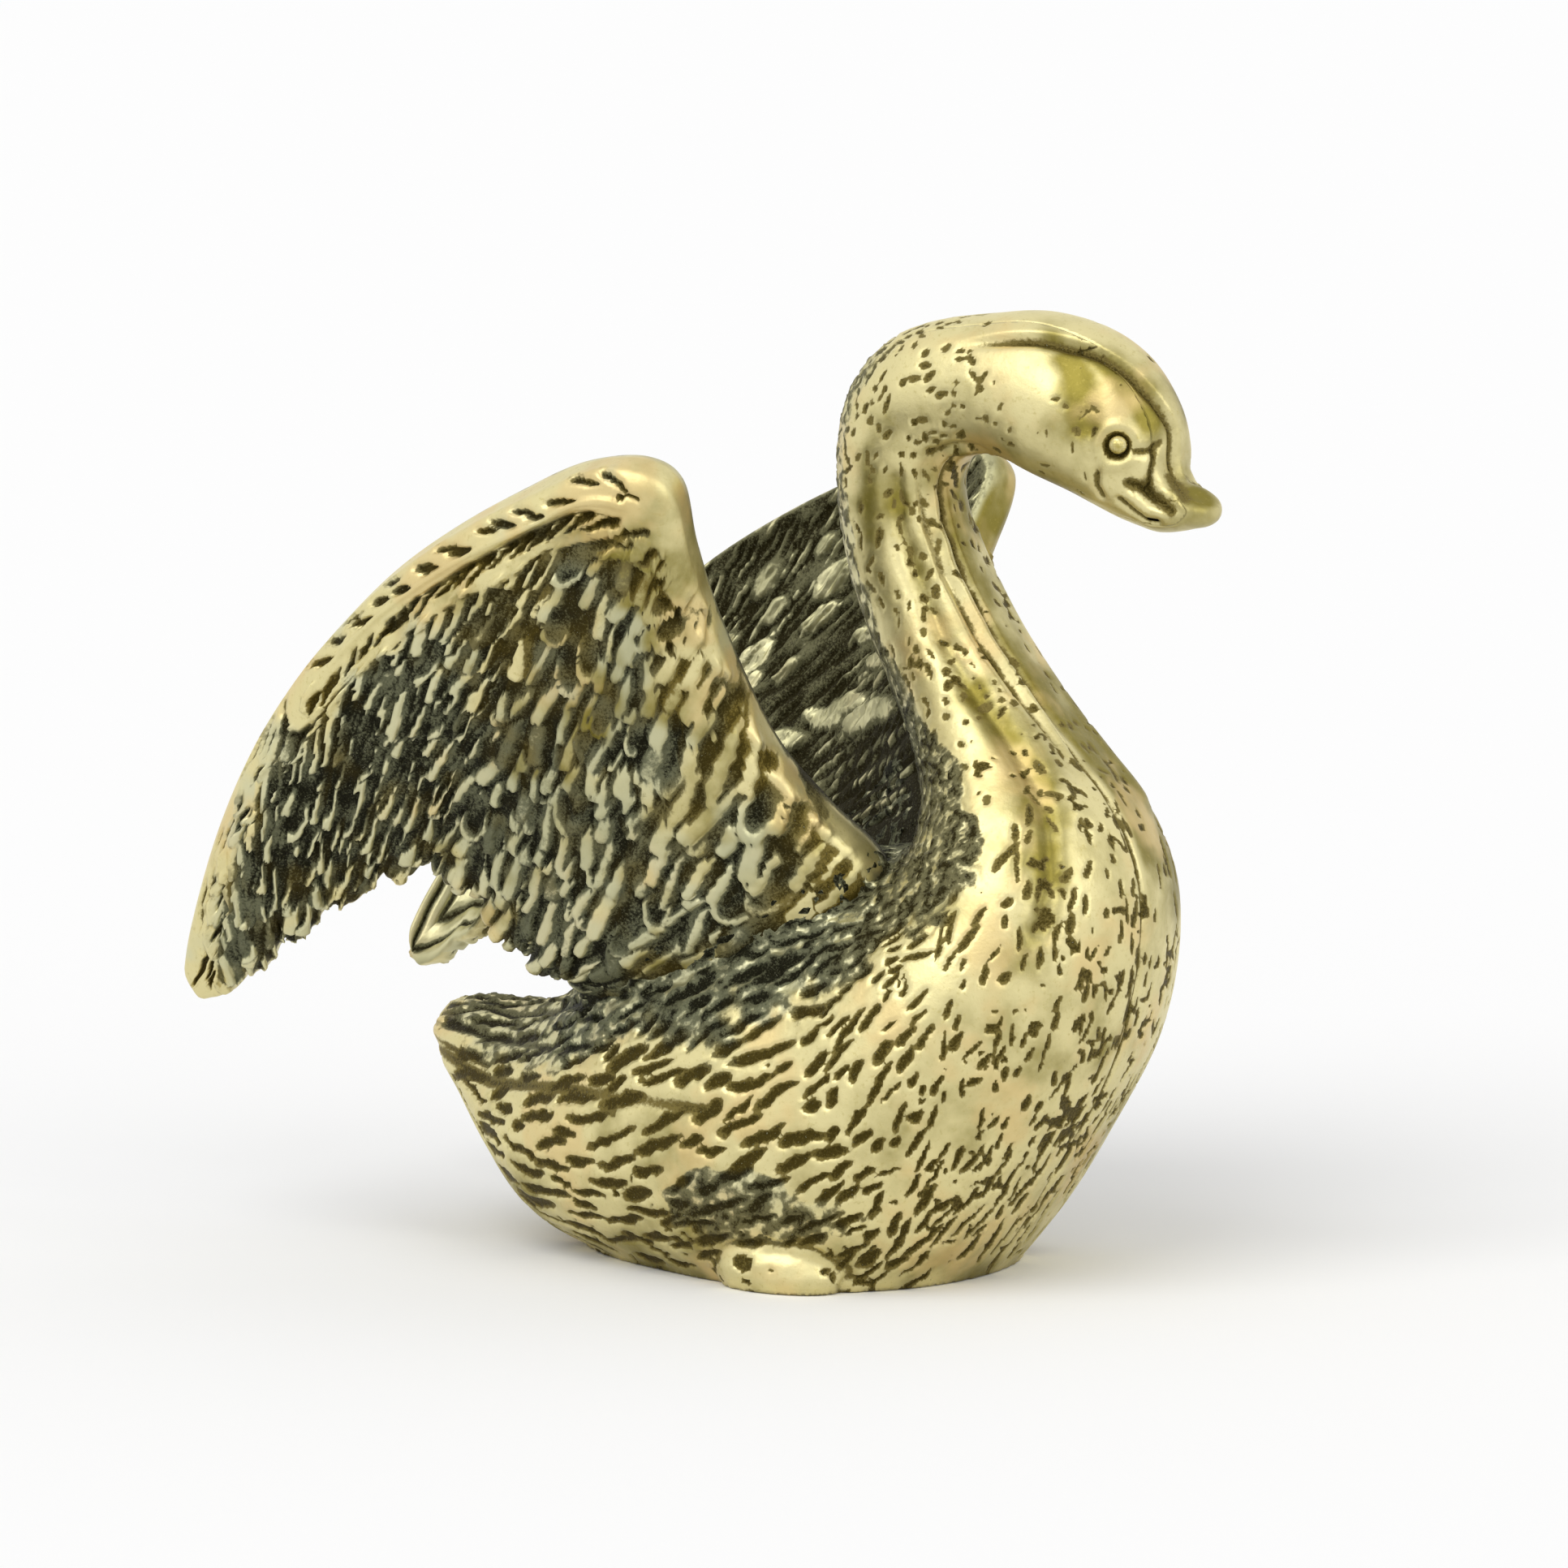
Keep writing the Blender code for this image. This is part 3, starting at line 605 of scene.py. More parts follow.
def row_spans(wing, rng, depth, pitch, first, last):
    """Spans between two others at about even distances, measured at a depth behind the leading edge."""
    share = np.minimum(depth / wing.chord, 1)[:, None]
    line = wing.grid[:, 0] * (1 - share) + wing.grid[:, OUTER_COLUMNS - 1] * share
    travel = np.concatenate(([0], np.cumsum(np.linalg.norm(np.diff(line, axis=0), axis=1))))
    places = np.arange(rng.uniform(0, pitch), travel[-1], pitch)
    places += rng.normal(0, 0.14 * pitch, len(places))
    spans = np.interp(places, travel, wing.span)
    return spans[(spans > first) & (spans < last)]


def outer_feathers(wing, rng):
    """Overlapping feathers on the outer face, from the trailing edge forwards."""
    feathers = []
    for number in range(2, SMALL_LOBE_COUNT - 2):
        span = (number + 0.5) / SMALL_LOBE_COUNT
        chord = np.interp(span, wing.span, wing.chord)
        heading = 0.2 * ramp(span, 0.3, 0.6)
        feathers.append(wing_mark(wing, True, span, chord - 1.0, heading, 1.5, 0.6, rng.uniform(0.6, 1)))
    for depth in np.arange(FIRST_FEATHERS, wing.chord.max(), FEATHER_STEP)[::-1]:
        for span in row_spans(wing, rng, depth, FEATHER_PITCH, 0.06, 0.95):
            chord = np.interp(span, wing.span, wing.chord)
            place = depth + rng.normal(0, 0.42)
            if place > chord - 1.6 or (depth < 2 and span > 0.3):
                continue
            inner = ramp(span, 0.5, 0.35)
            front = ramp(span, 0.34, 0.26) * ramp(place, 6.5, 3.5)
            heading = 0.34 * ramp(span, 0.3, 0.5) * (1 - 0.5 * place / chord) - 0.3 * ramp(span, 0.46, 0.34)
            heading += rng.normal(0, 0.18)
            length = rng.uniform(0.85, 1.95) * (1 + 0.1 * inner + 0.2 * front)
            width = rng.uniform(0.46, 0.64) * (1 + 0.15 * inner + 0.3 * front)
            near_edge = max(ramp(place, 6.5, 3.5), ramp(chord - place, 3.5, 1.2))
            shine = rng.uniform(0.72, 1.0) if rng.random() < 0.88 else rng.uniform(0.1, 0.5)
            shine = np.clip(shine + 0.3 * near_edge - 0.15 * inner * (1 - front), 0.06, 1)
            feathers.append(wing_mark(wing, True, span, place, heading, length, width, shine))
    return feathers


def quill_marks(wing, rng):
    """Barbs that slant back from the quill, and the dark cuts of the leading band and the tip."""
    barbs, cuts = [], []
    for span in row_spans(wing, rng, 2.8, 1.1, 0.355, 0.72):
        heading = 0.75 + rng.normal(0, 0.08)
        length = rng.uniform(1.3, 2.1)
        width = rng.uniform(0.27, 0.36)
        barbs.append(wing_mark(wing, True, span, 2.6 + 0.4 * length, heading, length, width))
        length = rng.uniform(0.8, 1.3)
        width = rng.uniform(0.13, 0.2)
        cuts.append(wing_mark(wing, True, span + 0.011, 2.2 + 0.5 * length, heading, length, width))
    for span in row_spans(wing, rng, 1.0, 1.15, 0.37, 0.74):
        depth = 0.85 + rng.normal(0, 0.25)
        length, width = rng.uniform(0.5, 1.1), rng.uniform(0.13, 0.22)
        cuts.append(wing_mark(wing, True, span, depth, -1.22, length, width))
    for span in row_spans(wing, rng, 1.0, 0.62, 0.795, 0.96):
        depth = rng.uniform(0.5, 3.2)
        heading = rng.normal(1.3, 0.15)
        length, width = rng.uniform(0.5, 1.2), rng.uniform(0.1, 0.16)
        cuts.append(wing_mark(wing, True, span, depth, heading, length, width))
    for span in row_spans(wing, rng, 1.0, 0.9, 0.26, 0.43):
        depth = rng.uniform(1.3, 2.9)
        heading, length = rng.uniform(-1, 1), rng.uniform(0.2, 0.5)
        cuts.append(wing_mark(wing, True, span, depth, heading, length, 0.2, 0.7))
    return barbs, cuts


def inner_marks(wing, rng):
    """Long dark and bright lines along the feathers of the inner face, and the worn lobes of a few."""
    lines, streaks, lobes = [], [], []
    for depth in INNER_LINE_DEPTHS:
        for span in row_spans(wing, rng, depth, 0.66, 0.1, 0.97):
            place = depth + rng.normal(0, 0.6)
            heading = rng.normal(0.22, 0.07)
            lines.append(wing_mark(wing, False, span, place, heading, rng.uniform(1.3, 2.4), 0.16))
            length = rng.uniform(0.7, 1.9)
            glint = rng.uniform(0.2, 1) * ramp(depth, 14, 7)
            streaks.append(wing_mark(wing, False, span + 0.0065, place, heading, length, 0.11, glint))
    for depth in INNER_LOBE_DEPTHS:
        for span in row_spans(wing, rng, depth, 3.7, 0.2, 0.9):
            place = depth + rng.normal(0, 0.3)
            heading = rng.normal(0.65, 0.15)
            size = rng.uniform(0.75, 1.35)
            shine = rng.uniform(0.4, 1)
            lobes.append(wing_mark(wing, False, span, place, heading, 1.3 * size, 0.55 * size, shine))
    return lines, streaks, lobes


def leading_band(points, span, depth, seed):
    """Where the bright band along the leading edge runs, and the dark line behind it near the tip."""
    edge = np.interp(span, *np.array(BAND_EDGE).T) + 0.12 * lattice_noise(points, 1.6, seed + 5)
    band = ramp(depth, edge + 0.16, edge - 0.14)
    band *= 1 - 0.9 * ramp(span, 0.31, 0.24) * ramp(lattice_noise(points, 1.1, seed + 4), 0.0, 0.3)
    outline = bell(depth - edge - 0.3, 0.16) * between(span, 0.64, 0.7, 0.775, 0.79)
    return band, outline


def feather_cover(wing, sheet, ragged, rng):
    """The feather on each point: the place along and across it, how worn and bright it is, and its tint."""
    feathers = outer_feathers(wing, rng)
    along, across, owner = lay_feathers(sheet.tree, ragged, sheet.normals, feathers)
    shine = np.append([feather.strength for feather in feathers], 0)[owner]
    slim = np.append(rng.uniform(0.34, 0.64, len(feathers)), 1)[owner]
    hollow = np.append(rng.random(len(feathers)) < HOLLOW_FEATHERS, False)[owner]
    tint = np.append(rng.normal(0, 1, len(feathers)), 0)[owner]
    waist = slim * (0.5 + 0.5 * ramp(along, -0.8, 0.5))
    ridge = ramp(np.abs(across) / waist, 1.0, 0.62) * ramp(along, -0.95, -0.6)
    outline = feather_outline(along, across)
    rim = ramp(outline, 0.36, 0.6) * ramp(along, -0.3, 0.2)
    on_feather = owner >= 0
    worn = on_feather * np.where(hollow, rim, ridge) * ramp(outline, 1.0, 0.86)
    return on_feather, along, across, worn, shine, tint


def outer_face(wing, sheet, rng, seed):
    """Height, patina, tarnish and greyness of the outer face: rows of feathers behind a bright band."""
    tree, points, normals, span, depth, behind = sheet
    ragged = warped(points, 0.5, 0.1, seed)
    on_feather, along, across, worn, shine, tint = feather_cover(wing, sheet, ragged, rng)
    band, band_line = leading_band(points, span, depth, seed)
    quill = bell(depth - QUILL_DEPTH, 0.26) * between(span, 0.36, 0.42, 0.66, 0.74)
    barbs, cuts = quill_marks(wing, rng)
    barbs = ramp(stamp(tree, ragged, normals, barbs, 0.1), 0.0, 0.45) * (1 - band)
    cuts = ramp(stamp(tree, ragged, normals, cuts), 0.0, 0.5)
    under_barbs = between(span, 0.35, 0.4, 0.7, 0.74) * ramp(depth, 4.0, 3.5)
    worn = worn * (1 - under_barbs)
    brink = 0.8 * ramp(behind, 0.4, 0.1)
    bright = np.maximum.reduce((shine * worn, band, barbs, brink))

    grain = lattice_noise(points, 0.3, seed + 7)
    cloud = lattice_noise(points, 0.8, seed + 8)
    height = 0.26 * worn + (0.1 * along + 0.03) * on_feather * (1 - band) + 0.24 * np.maximum(band, barbs)
    height += 0.22 * quill - 0.3 * np.maximum(cuts, band_line) + 0.05 * grain * (1 - bright)
    floor = np.where(on_feather, 0.84 + 0.16 * ramp(np.abs(across), 0.55, 0.9), 1.0) + 0.2 * cloud
    floor -= 0.16 * ramp(span, 0.78, 0.88)
    patina = np.maximum.reduce((floor * (1 - bright), cuts, band_line))
    tarnish = 0.3 * (1 - band) * (1 - ramp(behind, 2.5, 0.8)) + 0.25 * lattice_noise(points, 1.2, seed + 9)
    tarnish += 0.35 * ramp(np.abs(span - 0.36), 0.12, 0.05) - 0.08 + 0.1 * tint * (1 - band)
    tarnish += 0.25 * ramp(span, 0.36, 0.28)
    patches = noise_layers(points, seed + 10, (0.6, 2.6), (0.35, 0.9))
    grey = 0.82 - 0.45 * ramp(depth, 6.0, 3.0) + patches + 0.12 * tint
    return height, patina, tarnish, grey


def inner_face(wing, sheet, rng, seed):
    """The same of the inner face, which is dark, with long lines, a few worn lobes, and arcs at the tip."""
    tree, points, normals, span, depth, behind = sheet
    ragged = warped(points, 0.6, 0.1, seed)
    lines, streaks, lobes = (stamp(tree, ragged, normals, marks, 0) for marks in inner_marks(wing, rng))
    lines = ramp(lines, 0.0, 0.6)
    streaks = ramp(streaks, 0.0, 0.5)
    grain = lattice_noise(points, 0.35, seed + 7)
    cloud = lattice_noise(points, 1.1, seed + 8)
    lobes *= 1 - 0.92 * ramp(span, 0.5, 0.66) * ramp(lattice_noise(points, 2.4, seed + 9), -0.3, 0.1)
    height = 0.2 * ramp(lobes, 0, 0.3) - 0.18 * lines + 0.1 * streaks + 0.04 * grain
    worn = ramp(lobes, 0.02, 0.4) * (1 - 0.6 * ramp(lobes, 0.78, 0.9))
    brink = 0.7 * ramp(depth, 0.9, 0.4) * ramp(span, 0.22, 0.33) * (0.8 + 0.4 * grain)
    bright = np.maximum.reduce((0.8 * worn, 0.85 * streaks * (1 - worn), brink))
    floor = np.maximum(0.84 + 0.2 * cloud, ramp(span, 0.34, 0.2))
    patina = np.maximum(floor * (1 - bright), lines * (1 - worn) * ramp(depth, 0.3, 0.9))
    inset = np.minimum(depth, behind) + 0.12 * cloud
    arcs = bell(inset - 0.9, 0.2) + bell(inset - 2.1, 0.25)
    tip = ramp(span, 0.79, 0.86)
    height = height * (1 - tip) - 0.2 * tip * arcs
    patina = patina * (1 - tip) + tip * arcs
    return height, patina, 0.55 + 0.4 * cloud, np.full(len(points), 0.82)


def make_wing(name, side, seed):
    """A wing casting with its feathers, and where its patina, tarnish and painted shade lie."""
    rng = np.random.default_rng(seed)
    wing, faces = measured_wing(side)
    points, normals = wing.grid.reshape(-1, 3), wing.normals.reshape(-1, 3)
    span, share, chord = (values.ravel() for values in np.broadcast_arrays(
        wing.span[:, None], wing.share[None, :], wing.chord[:, None]))
    depth, behind = share * chord, (1 - share) * chord
    sheet = Sheet(point_tree(points), points, normals, span, depth, behind)
    looks_out = outer_face(wing, sheet, rng, seed)
    looks_in = inner_face(wing, sheet, rng, seed + INNER_FACE_SEED_STEP)
    outer = np.tile(np.arange(wing.grid.shape[1]) < OUTER_COLUMNS, len(wing.span))
    height, patina, tarnish, grey = (np.where(outer, *pair) for pair in zip(looks_out, looks_in))
    # Painted shade on the wrist of the left wing, which lies behind the neck, away from the camera
    if side > 0:
        tarnish += 0.5 * ramp(np.abs(span - 0.38), 0.16, 0.08) * ramp(depth, 2.5, 1.0)
    fade = np.where(outer, ramp(depth, 0.0, 0.35), ramp(depth, 0.5, 1.2))
    fade *= ramp(behind, 0.0, 0.4) * ramp(span, 0.05, 0.14)
    shaped = points + normals * (height * fade)[:, None]
    mesh = mesh_of(shaped * MM, faces, f"{name}_wing_casting")
    add_values(mesh, patina=patina, tarnish=tarnish, grey=grey)
    dress(mesh, f"{name}_wing_casting", f"{name}_wing")


# Body

def bill_dip(station, turn):
    """How far the upper side of the bill is pulled in, below the forehead and behind the rounded tip."""
    share = ramp(station, 29.4, 31.2) * (1 + np.cos(turn)) / 2
    return share[..., None] * BILL_DIP


def ellipsoid(lump, side):
    """Points and quads of an ellipsoid on one side of the swan, with tiny rings at its poles."""
    rise = np.linspace(0.001, math.pi - 0.001, LUMP_ROWS)[:, None]
    turn = even_turns(LUMP_SIDES)[None, :]
    rings = (np.sin(rise) * np.cos(turn), np.sin(rise) * np.sin(turn), np.cos(rise))
    ball = np.stack(np.broadcast_arrays(*rings), axis=2).reshape(-1, 3) * np.array(lump.size) / 2
    ball = ball @ np.array(Matrix.Rotation(lump.pitch, 3, "Y")).T
    return ball + np.array(lump.place) * (1, side, 1), tube_faces(LUMP_ROWS, LUMP_SIDES)


def wing_stub(side):
    """The root of a wing, which swells the body around the joint and ends inside the wing."""
    rows = STUB_STATIONS * WING_STEPS
    rings = wing_grid()[0][:rows, ::STUB_COLUMN_STEP]
    centre = rings.mean(axis=1, keepdims=True)
    swell = np.linspace(*STUB_SWELL, rows)[:, None, None]
    grid = pose_wing(centre + (rings - centre) * swell, side)
    return grid.reshape(-1, 3), tube_faces(*grid.shape[:2])


def body_lumps():
    """Closed forms that make up the skin: the body, the tip of the bill, the feet and the wing roots."""
    grid = body_grid()[:-BILL_END_ROWS]
    grid -= bill_dip(np.arange(len(grid))[:, None] / BODY_STEPS, even_turns(BODY_SIDES)[None, :])
    lumps = [(grid.reshape(-1, 3), tube_faces(len(grid), BODY_SIDES))]
    lumps.append(ellipsoid(BILL_TIP, 1))
    for side in (-1, 1):
        lumps += [ellipsoid(FOOT, side), ellipsoid(TOE, side), wing_stub(side)]
    return lumps


def skin_mesh():
    """One closed skin around body, feet and wing roots, cut off flat at the base."""
    form = bmesh.new()
    for points, faces in body_lumps():
        corners = [form.verts.new(point) for point in points]
        for face in faces:
            form.faces.new([corners[corner] for corner in face])
    cut_off(form, plane_co=(0, 0, 0), plane_no=(0, 0, -1), clear_outer=True)
    bmesh.ops.recalc_face_normals(form, faces=form.faces)
    holder = new_object("skin", finished_mesh(form, "skin"))
    remesh = holder.modifiers.new("skin", "REMESH")
    remesh.mode = "VOXEL"
    remesh.voxel_size = VOXEL
    shown = holder.evaluated_get(bpy.context.evaluated_depsgraph_get())
    skin = bpy.data.meshes.new_from_object(shown)
    bpy.data.objects.remove(holder)
    return skin


def flow_direction(points, normals):
    """The way the strokes run over the body, along the feathers, as a direction in the surface."""
    table = np.array(FLOW, dtype=float)
    offset = points[:, None, (0, 2)] - table[None, :, :2]
    weight = 1 / ((offset**2).sum(axis=2) + 1.0) ** 2
    double = np.radians(2 * table[:, 2])
    angle = np.arctan2(weight @ np.sin(double), weight @ np.cos(double)) / 2
    return on_surface(np.stack((np.cos(angle), np.zeros(len(points)), np.sin(angle)), axis=1), normals)


def body_place(station, degrees, side):
    """A point of the drawn body at a station and a turn from its upper rail, on one side."""
    table = smooth_rows(BODY_STATIONS, BODY_STEPS)
    row = [np.interp(station * BODY_STEPS, np.arange(len(table)), column) for column in table.T]
    turn = side * math.radians(degrees)
    return section_points(row, turn) - bill_dip(np.array(station), turn)


def line_distance(points, path):
    """Distance of each point from a line through the points of a path."""
    best = np.full(len(points), np.inf)
    for start, end in zip(path, path[1:]):
        run = end - start
        share = np.clip((points - start) @ run / (run @ run), 0, 1)
        best = np.minimum(best, np.linalg.norm(points - start - share[:, None] * run, axis=1))
    return best


def drawn_lines(points, lines):
    """Height and darkness of grooves, ridges and folds on both sides of the body. On the folds the darkness
    is painted shade.
    """
    height = np.zeros(len(points))
    dark = np.zeros(len(points))
    for _, half_width, rise, shade, stops in lines:
        for side in (-1, 1):
            path = [body_place(station, degrees, side) for station, degrees in stops]
            profile = bell(line_distance(points, path), half_width)
            height += rise * profile
            dark = np.maximum(dark, shade * profile)
    return height, dark


def body_marks(points, normals, station, turn, rng):
    """Graver strokes on the flanks, fewer and finer on the breast, and pits on neck and head."""
    chosen = rng.choice(len(points), STROKE_TRIES, replace=False)
    flow = flow_direction(points[chosen], normals[chosen])
    patch = noise_layers(points[chosen], 71, (0.7, 2.6), (0.5, 1.2))
    at, facing = station[chosen], np.abs(turn[chosen])
    neck = ramp(at, 13.0, 15.5)
    breast = ramp(at, 7.0, 10.5) * (1 - neck)
    head = ramp(at, 24.0, 26.5)
    bare = between(at, 9.5, 11.5, 14.5, 16.5) * ramp(np.abs(facing - 1.75), 0.7, 0.3)
    tail = ramp(at, 2.6, 1.8)
    front = ramp(facing, 1.9, 2.3) * ramp(at, 6.0, 9.0)
    crowd = 1.0 - 0.2 * breast - 0.35 * neck - 0.3 * head - 0.2 * bare - 0.5 * tail - 0.25 * front
    crowd += (0.1 + 0.4 * breast + 0.3 * neck) * patch
    crowd = np.where((points[chosen, 2] < 0.3) | (at > 28.4) | ((at > 25) & (facing < 1.1)), 0, crowd)
    marks = []
    for number, index in enumerate(chosen):
        bold = 1.25 - 0.25 * breast[number] - 0.3 * neck[number]
        length = rng.uniform(0.55, 1.25) + 1.1 * rng.random() ** 3
        length *= bold - 0.48 * breast[number] - 0.68 * neck[number]
        width = rng.uniform(0.17, 0.27) + 0.14 * rng.random() ** 3
        width *= bold - 0.26 * breast[number] - 0.2 * neck[number] - 0.2 * head[number]
        spin = rng.normal(0, 0.14 + 0.12 * breast[number] + 0.45 * neck[number])
        along = turned(flow[number], normals[index], spin)
        strength = rng.uniform(0.5, 1) if neck[number] > 0.5 else 1
        marks.append(Mark(points[index], along, normals[index], max(length, width), width, strength))
    return [marks[number] for number in spread_marks(marks) if rng.random() < crowd[number]]


def smooth_skin():
    """The skin's points and quads. For each point its distance to the drawn body, station and turn."""
    skin = skin_mesh()
    points, quads = vertex_array(skin), quad_array(skin)
    points = relax(points, quads, np.full(len(points), 0.5), 3)
    drawn = body_grid().reshape(-1, 3)
    index = nearest(point_tree(drawn), points)
    distance = np.abs(((points - drawn[index]) * quad_normals(points, quads)).sum(axis=1))
    station, turn = index // BODY_SIDES / BODY_STEPS, index % BODY_SIDES * 2 * math.pi / BODY_SIDES
    points = relax(points, quads, 0.5 * np.maximum(ramp(distance, 0.1, 0.5), ramp(station, 30.5, 31.5)), 12)
    key = np.stack((station, np.sin(turn), np.cos(turn)), axis=1)
    station, sine, cosine = relax(key, quads, np.ones(len(points)), 6).T
    points[:, 2] = np.where(points[:, 2] < BASE_SNAP, 0.0, points[:, 2])
    return points, quads, distance, station, np.arctan2(sine, cosine)


def stroke_cover(points, normals, station, turn, fine):
    """How deep each point lies in a graver stroke, with ragged rims."""
    marks = body_marks(points, normals, station, turn, np.random.default_rng(BODY_SEED))
    ragged = warped(warped(points, 0.42, 0.13, 20), 1.3, 0.2, 24)
    ragged = points + (1 - 0.65 * fine)[:, None] * (ragged - points)
    cover = stamp(point_tree(points), ragged, normals, marks, 0.15, 2.7)
    return ramp(cover, 0.02, 0.3) * (0.7 + 0.3 * ramp(cover, 0.3, 0.8)) * (1 - 0.14 * fine)


def body_grain(points, normals):
    """Coarse grain of the rough casting, drawn out along the strokes."""
    flow = flow_direction(points, normals)
    streaked = points - 0.8 * flow * (points * flow).sum(axis=1, keepdims=True)
    return lattice_noise(points, 0.3, 31) + 0.9 * lattice_noise(streaked, 0.34, 32)


def make_body():
    """The two half castings of the body, parted at the seam."""
    points, quads, distance, station, turn = smooth_skin()
    normals = quad_normals(points, quads)
    fine = ramp(station, 8.0, 14.0)
    foot, foot_edge = feet(points)
    rough = rough_zones(points, station, turn, distance) * (1 - foot)
    grain = body_grain(points, normals)
    dark = stroke_cover(points, normals, station, turn, fine) * (1 - 0.8 * foot)
    dark = np.maximum(dark, pitted(points, station, turn))
    height = -0.17 * (1 - 0.6 * fine) * dark + 0.09 * rough * grain

    line_height, line_dark = drawn_lines(points, BODY_LINES)
    beyond, top = crown_band(points, station, turn)
    bare = 1 - top * ramp(beyond, -0.1, 0.3)
    details = (seam(points, station, turn), head_details(points, beyond, top),
               (bare * line_height, bare * line_dark), (-0.15 * foot_edge, 0.75 * foot_edge))
    for part_height, part_dark in details:
        height = height * (1 - part_dark) + part_height
        dark = np.maximum(dark, part_dark)
    # The folds' darkness is painted shade, which goes into the tarnish values
    fold_height, dull_and_shade = drawn_lines(points, BODY_FOLDS_AND_SHADE)
    height += fold_height
    shaped = points + normals * (height * ramp(points[:, 2], 0.05, 0.6))[:, None]
    shaped[:, 2] = np.maximum(shaped[:, 2], 0)
    plate_recess(shaped)

    deep = 0.2 * ramp(distance, 0.2, 1.2)
    patina = np.maximum(dark, rough * (0.65 + deep + 0.46 * grain))
    grey = 0.14 + 0.86 * rough * ramp(points[:, 2], -2, 7) * (1 - 0.35 * ramp(points[:, 0], 5, 10))
    # Tarnish with painted shade added: the folds' painted shade and that of downward, low and far places;
    # the feet stay brighter
    tarnish = dull_and_shade - 0.2 * foot + painted_shade_and_dullness(points, normals, station, turn)
    whole = mesh_of(shaped * MM, quads, "whole_body")
    add_values(whole, patina=patina, grey=grey, tarnish=tarnish)
    for name, side in (("right", -1), ("left", 1)):
        body_half(whole, name, side)
    bpy.data.meshes.remove(whole)


def pitted(points, station, turn):
    """Clusters of fine pits on the breast, around the front of the neck and low on the sides."""
    fine = noise_layers(points, 35, (1.0, 0.36), (0.5, 0.8))
    cluster = noise_layers(points, 37, (0.6, 2.4), (0.4, 1.2))
    front = ramp(np.abs(turn), 1.7, 2.2) * between(station, 8, 10, 20, 24)
    low = ramp(points[:, 2], 5, 2) * ramp(station, 4, 6)
    crowd = 0.45 * np.maximum(front, low) - 0.16
    return 0.9 * ramp(fine + 0.8 * cluster + crowd, 0.86, 1.0)


def feet(points):
    """Where the feet are, and the dark line around them."""
    inside = np.zeros(len(points))
    edge = np.zeros(len(points))
    mirrored = points * (1, 0, 1) + np.abs(points) * (0, 1, 0)
    for lump in (FOOT, TOE):
        reach = np.linalg.norm((mirrored - lump.place) / np.array(lump.size) * 2, axis=1)
        reach += 0.07 * lattice_noise(points, 0.8, 45) + 0.2 * ramp(points[:, 0], 2.6, 0.8)
        inside = np.maximum(inside, ramp(reach, 1.12, 1.02))
        edge = np.maximum(edge, bell(reach - 1.16, 0.07))
    return inside, edge * (1 - inside) * ramp(points[:, 0], 1.0, 3.2)


def rough_zones(points, station, turn, distance):
    """Where the casting was left rough: wing roots, back, tail, nape and above the feet."""
    x, y, z = points.T
    ragged = noise_layers(points, 41, (0.5, 1.2), (0.3, 0.5))
    facing = np.abs(turn)
    root = ramp(distance + 0.2 * ragged, 0.05, 0.6) * ramp(z, 6, 9) * ramp(station, 16, 14)
    near_root = ramp(np.abs(station - 7.6 + 1.2 * ragged), 4.4, 3.0)
    near_root *= ramp(facing + 0.25 * ragged, 1.2, 0.95)
    tail = ramp(station + ragged, 0.3, 1.4) * ramp(station, 6, 5) * ramp(facing + 0.3 * ragged, 1.2, 0.9)
    reach = np.radians(np.interp(station, *np.array(ROUGH_REACH).T))
    nape = between(station, 9, 10.6, 22, 24) * ramp(facing + 0.3 * ragged - reach, 0.06, -0.1)
    nape *= 0.66 + 0.34 * ramp(station, 17.5, 15.8)
    place = np.stack(((x - 3.6) / 4.6, (np.abs(y) - 8.9) / 3.0, (z - 3.6) / 2.0), axis=1)
    foot = 0.86 * ramp((place**2).sum(axis=1) + 1.1 * ragged, 1.15, 0.75)
    return np.clip(np.maximum.reduce((root, near_root, 0.75 * tail, nape, foot)), 0, 1)


def painted_shade_and_dullness(points, normals, station, turn):
    """Dull brass and painted shade: dull clouds all over, duller on the front of the breast, on the crown
    and around the hollow on the bill, and painted shade on faces that turn down, on the left side of the
    neck, away from the camera, and low towards the base and the rear.
    """
    clouds = noise_layers(points, 51, (0.34, 3.4), (0.27, 1.3))
    # Painted shade on faces that turn down
    under = 0.2 * ramp(normals[:, 2], 0.1, -0.8)
    # Painted shade on the left side of the neck, away from the camera
    far = 0.62 * ramp(points[:, 1], 0.1, 0.8) * between(station, 12, 14, 22, 24)
    # Painted shade low down, towards the base and the rear
    low = 0.15 * ramp(points[:, 2], 7, 1) * ramp(points[:, 0], 8, -4)
    breast = 0.14 * between(station, 9, 12, 15, 18) * ramp(np.abs(turn), 1.2, 1.8)
    bill = 0.9 * bell(np.linalg.norm(points - BILL_HOLLOW, axis=1), 0.85)
    crown = 0.16 * ramp(station, 24.5, 26) * ramp(np.abs(turn), 1.0, 0.7)
    return 0.03 + clouds + under + far + low + breast + bill + crown


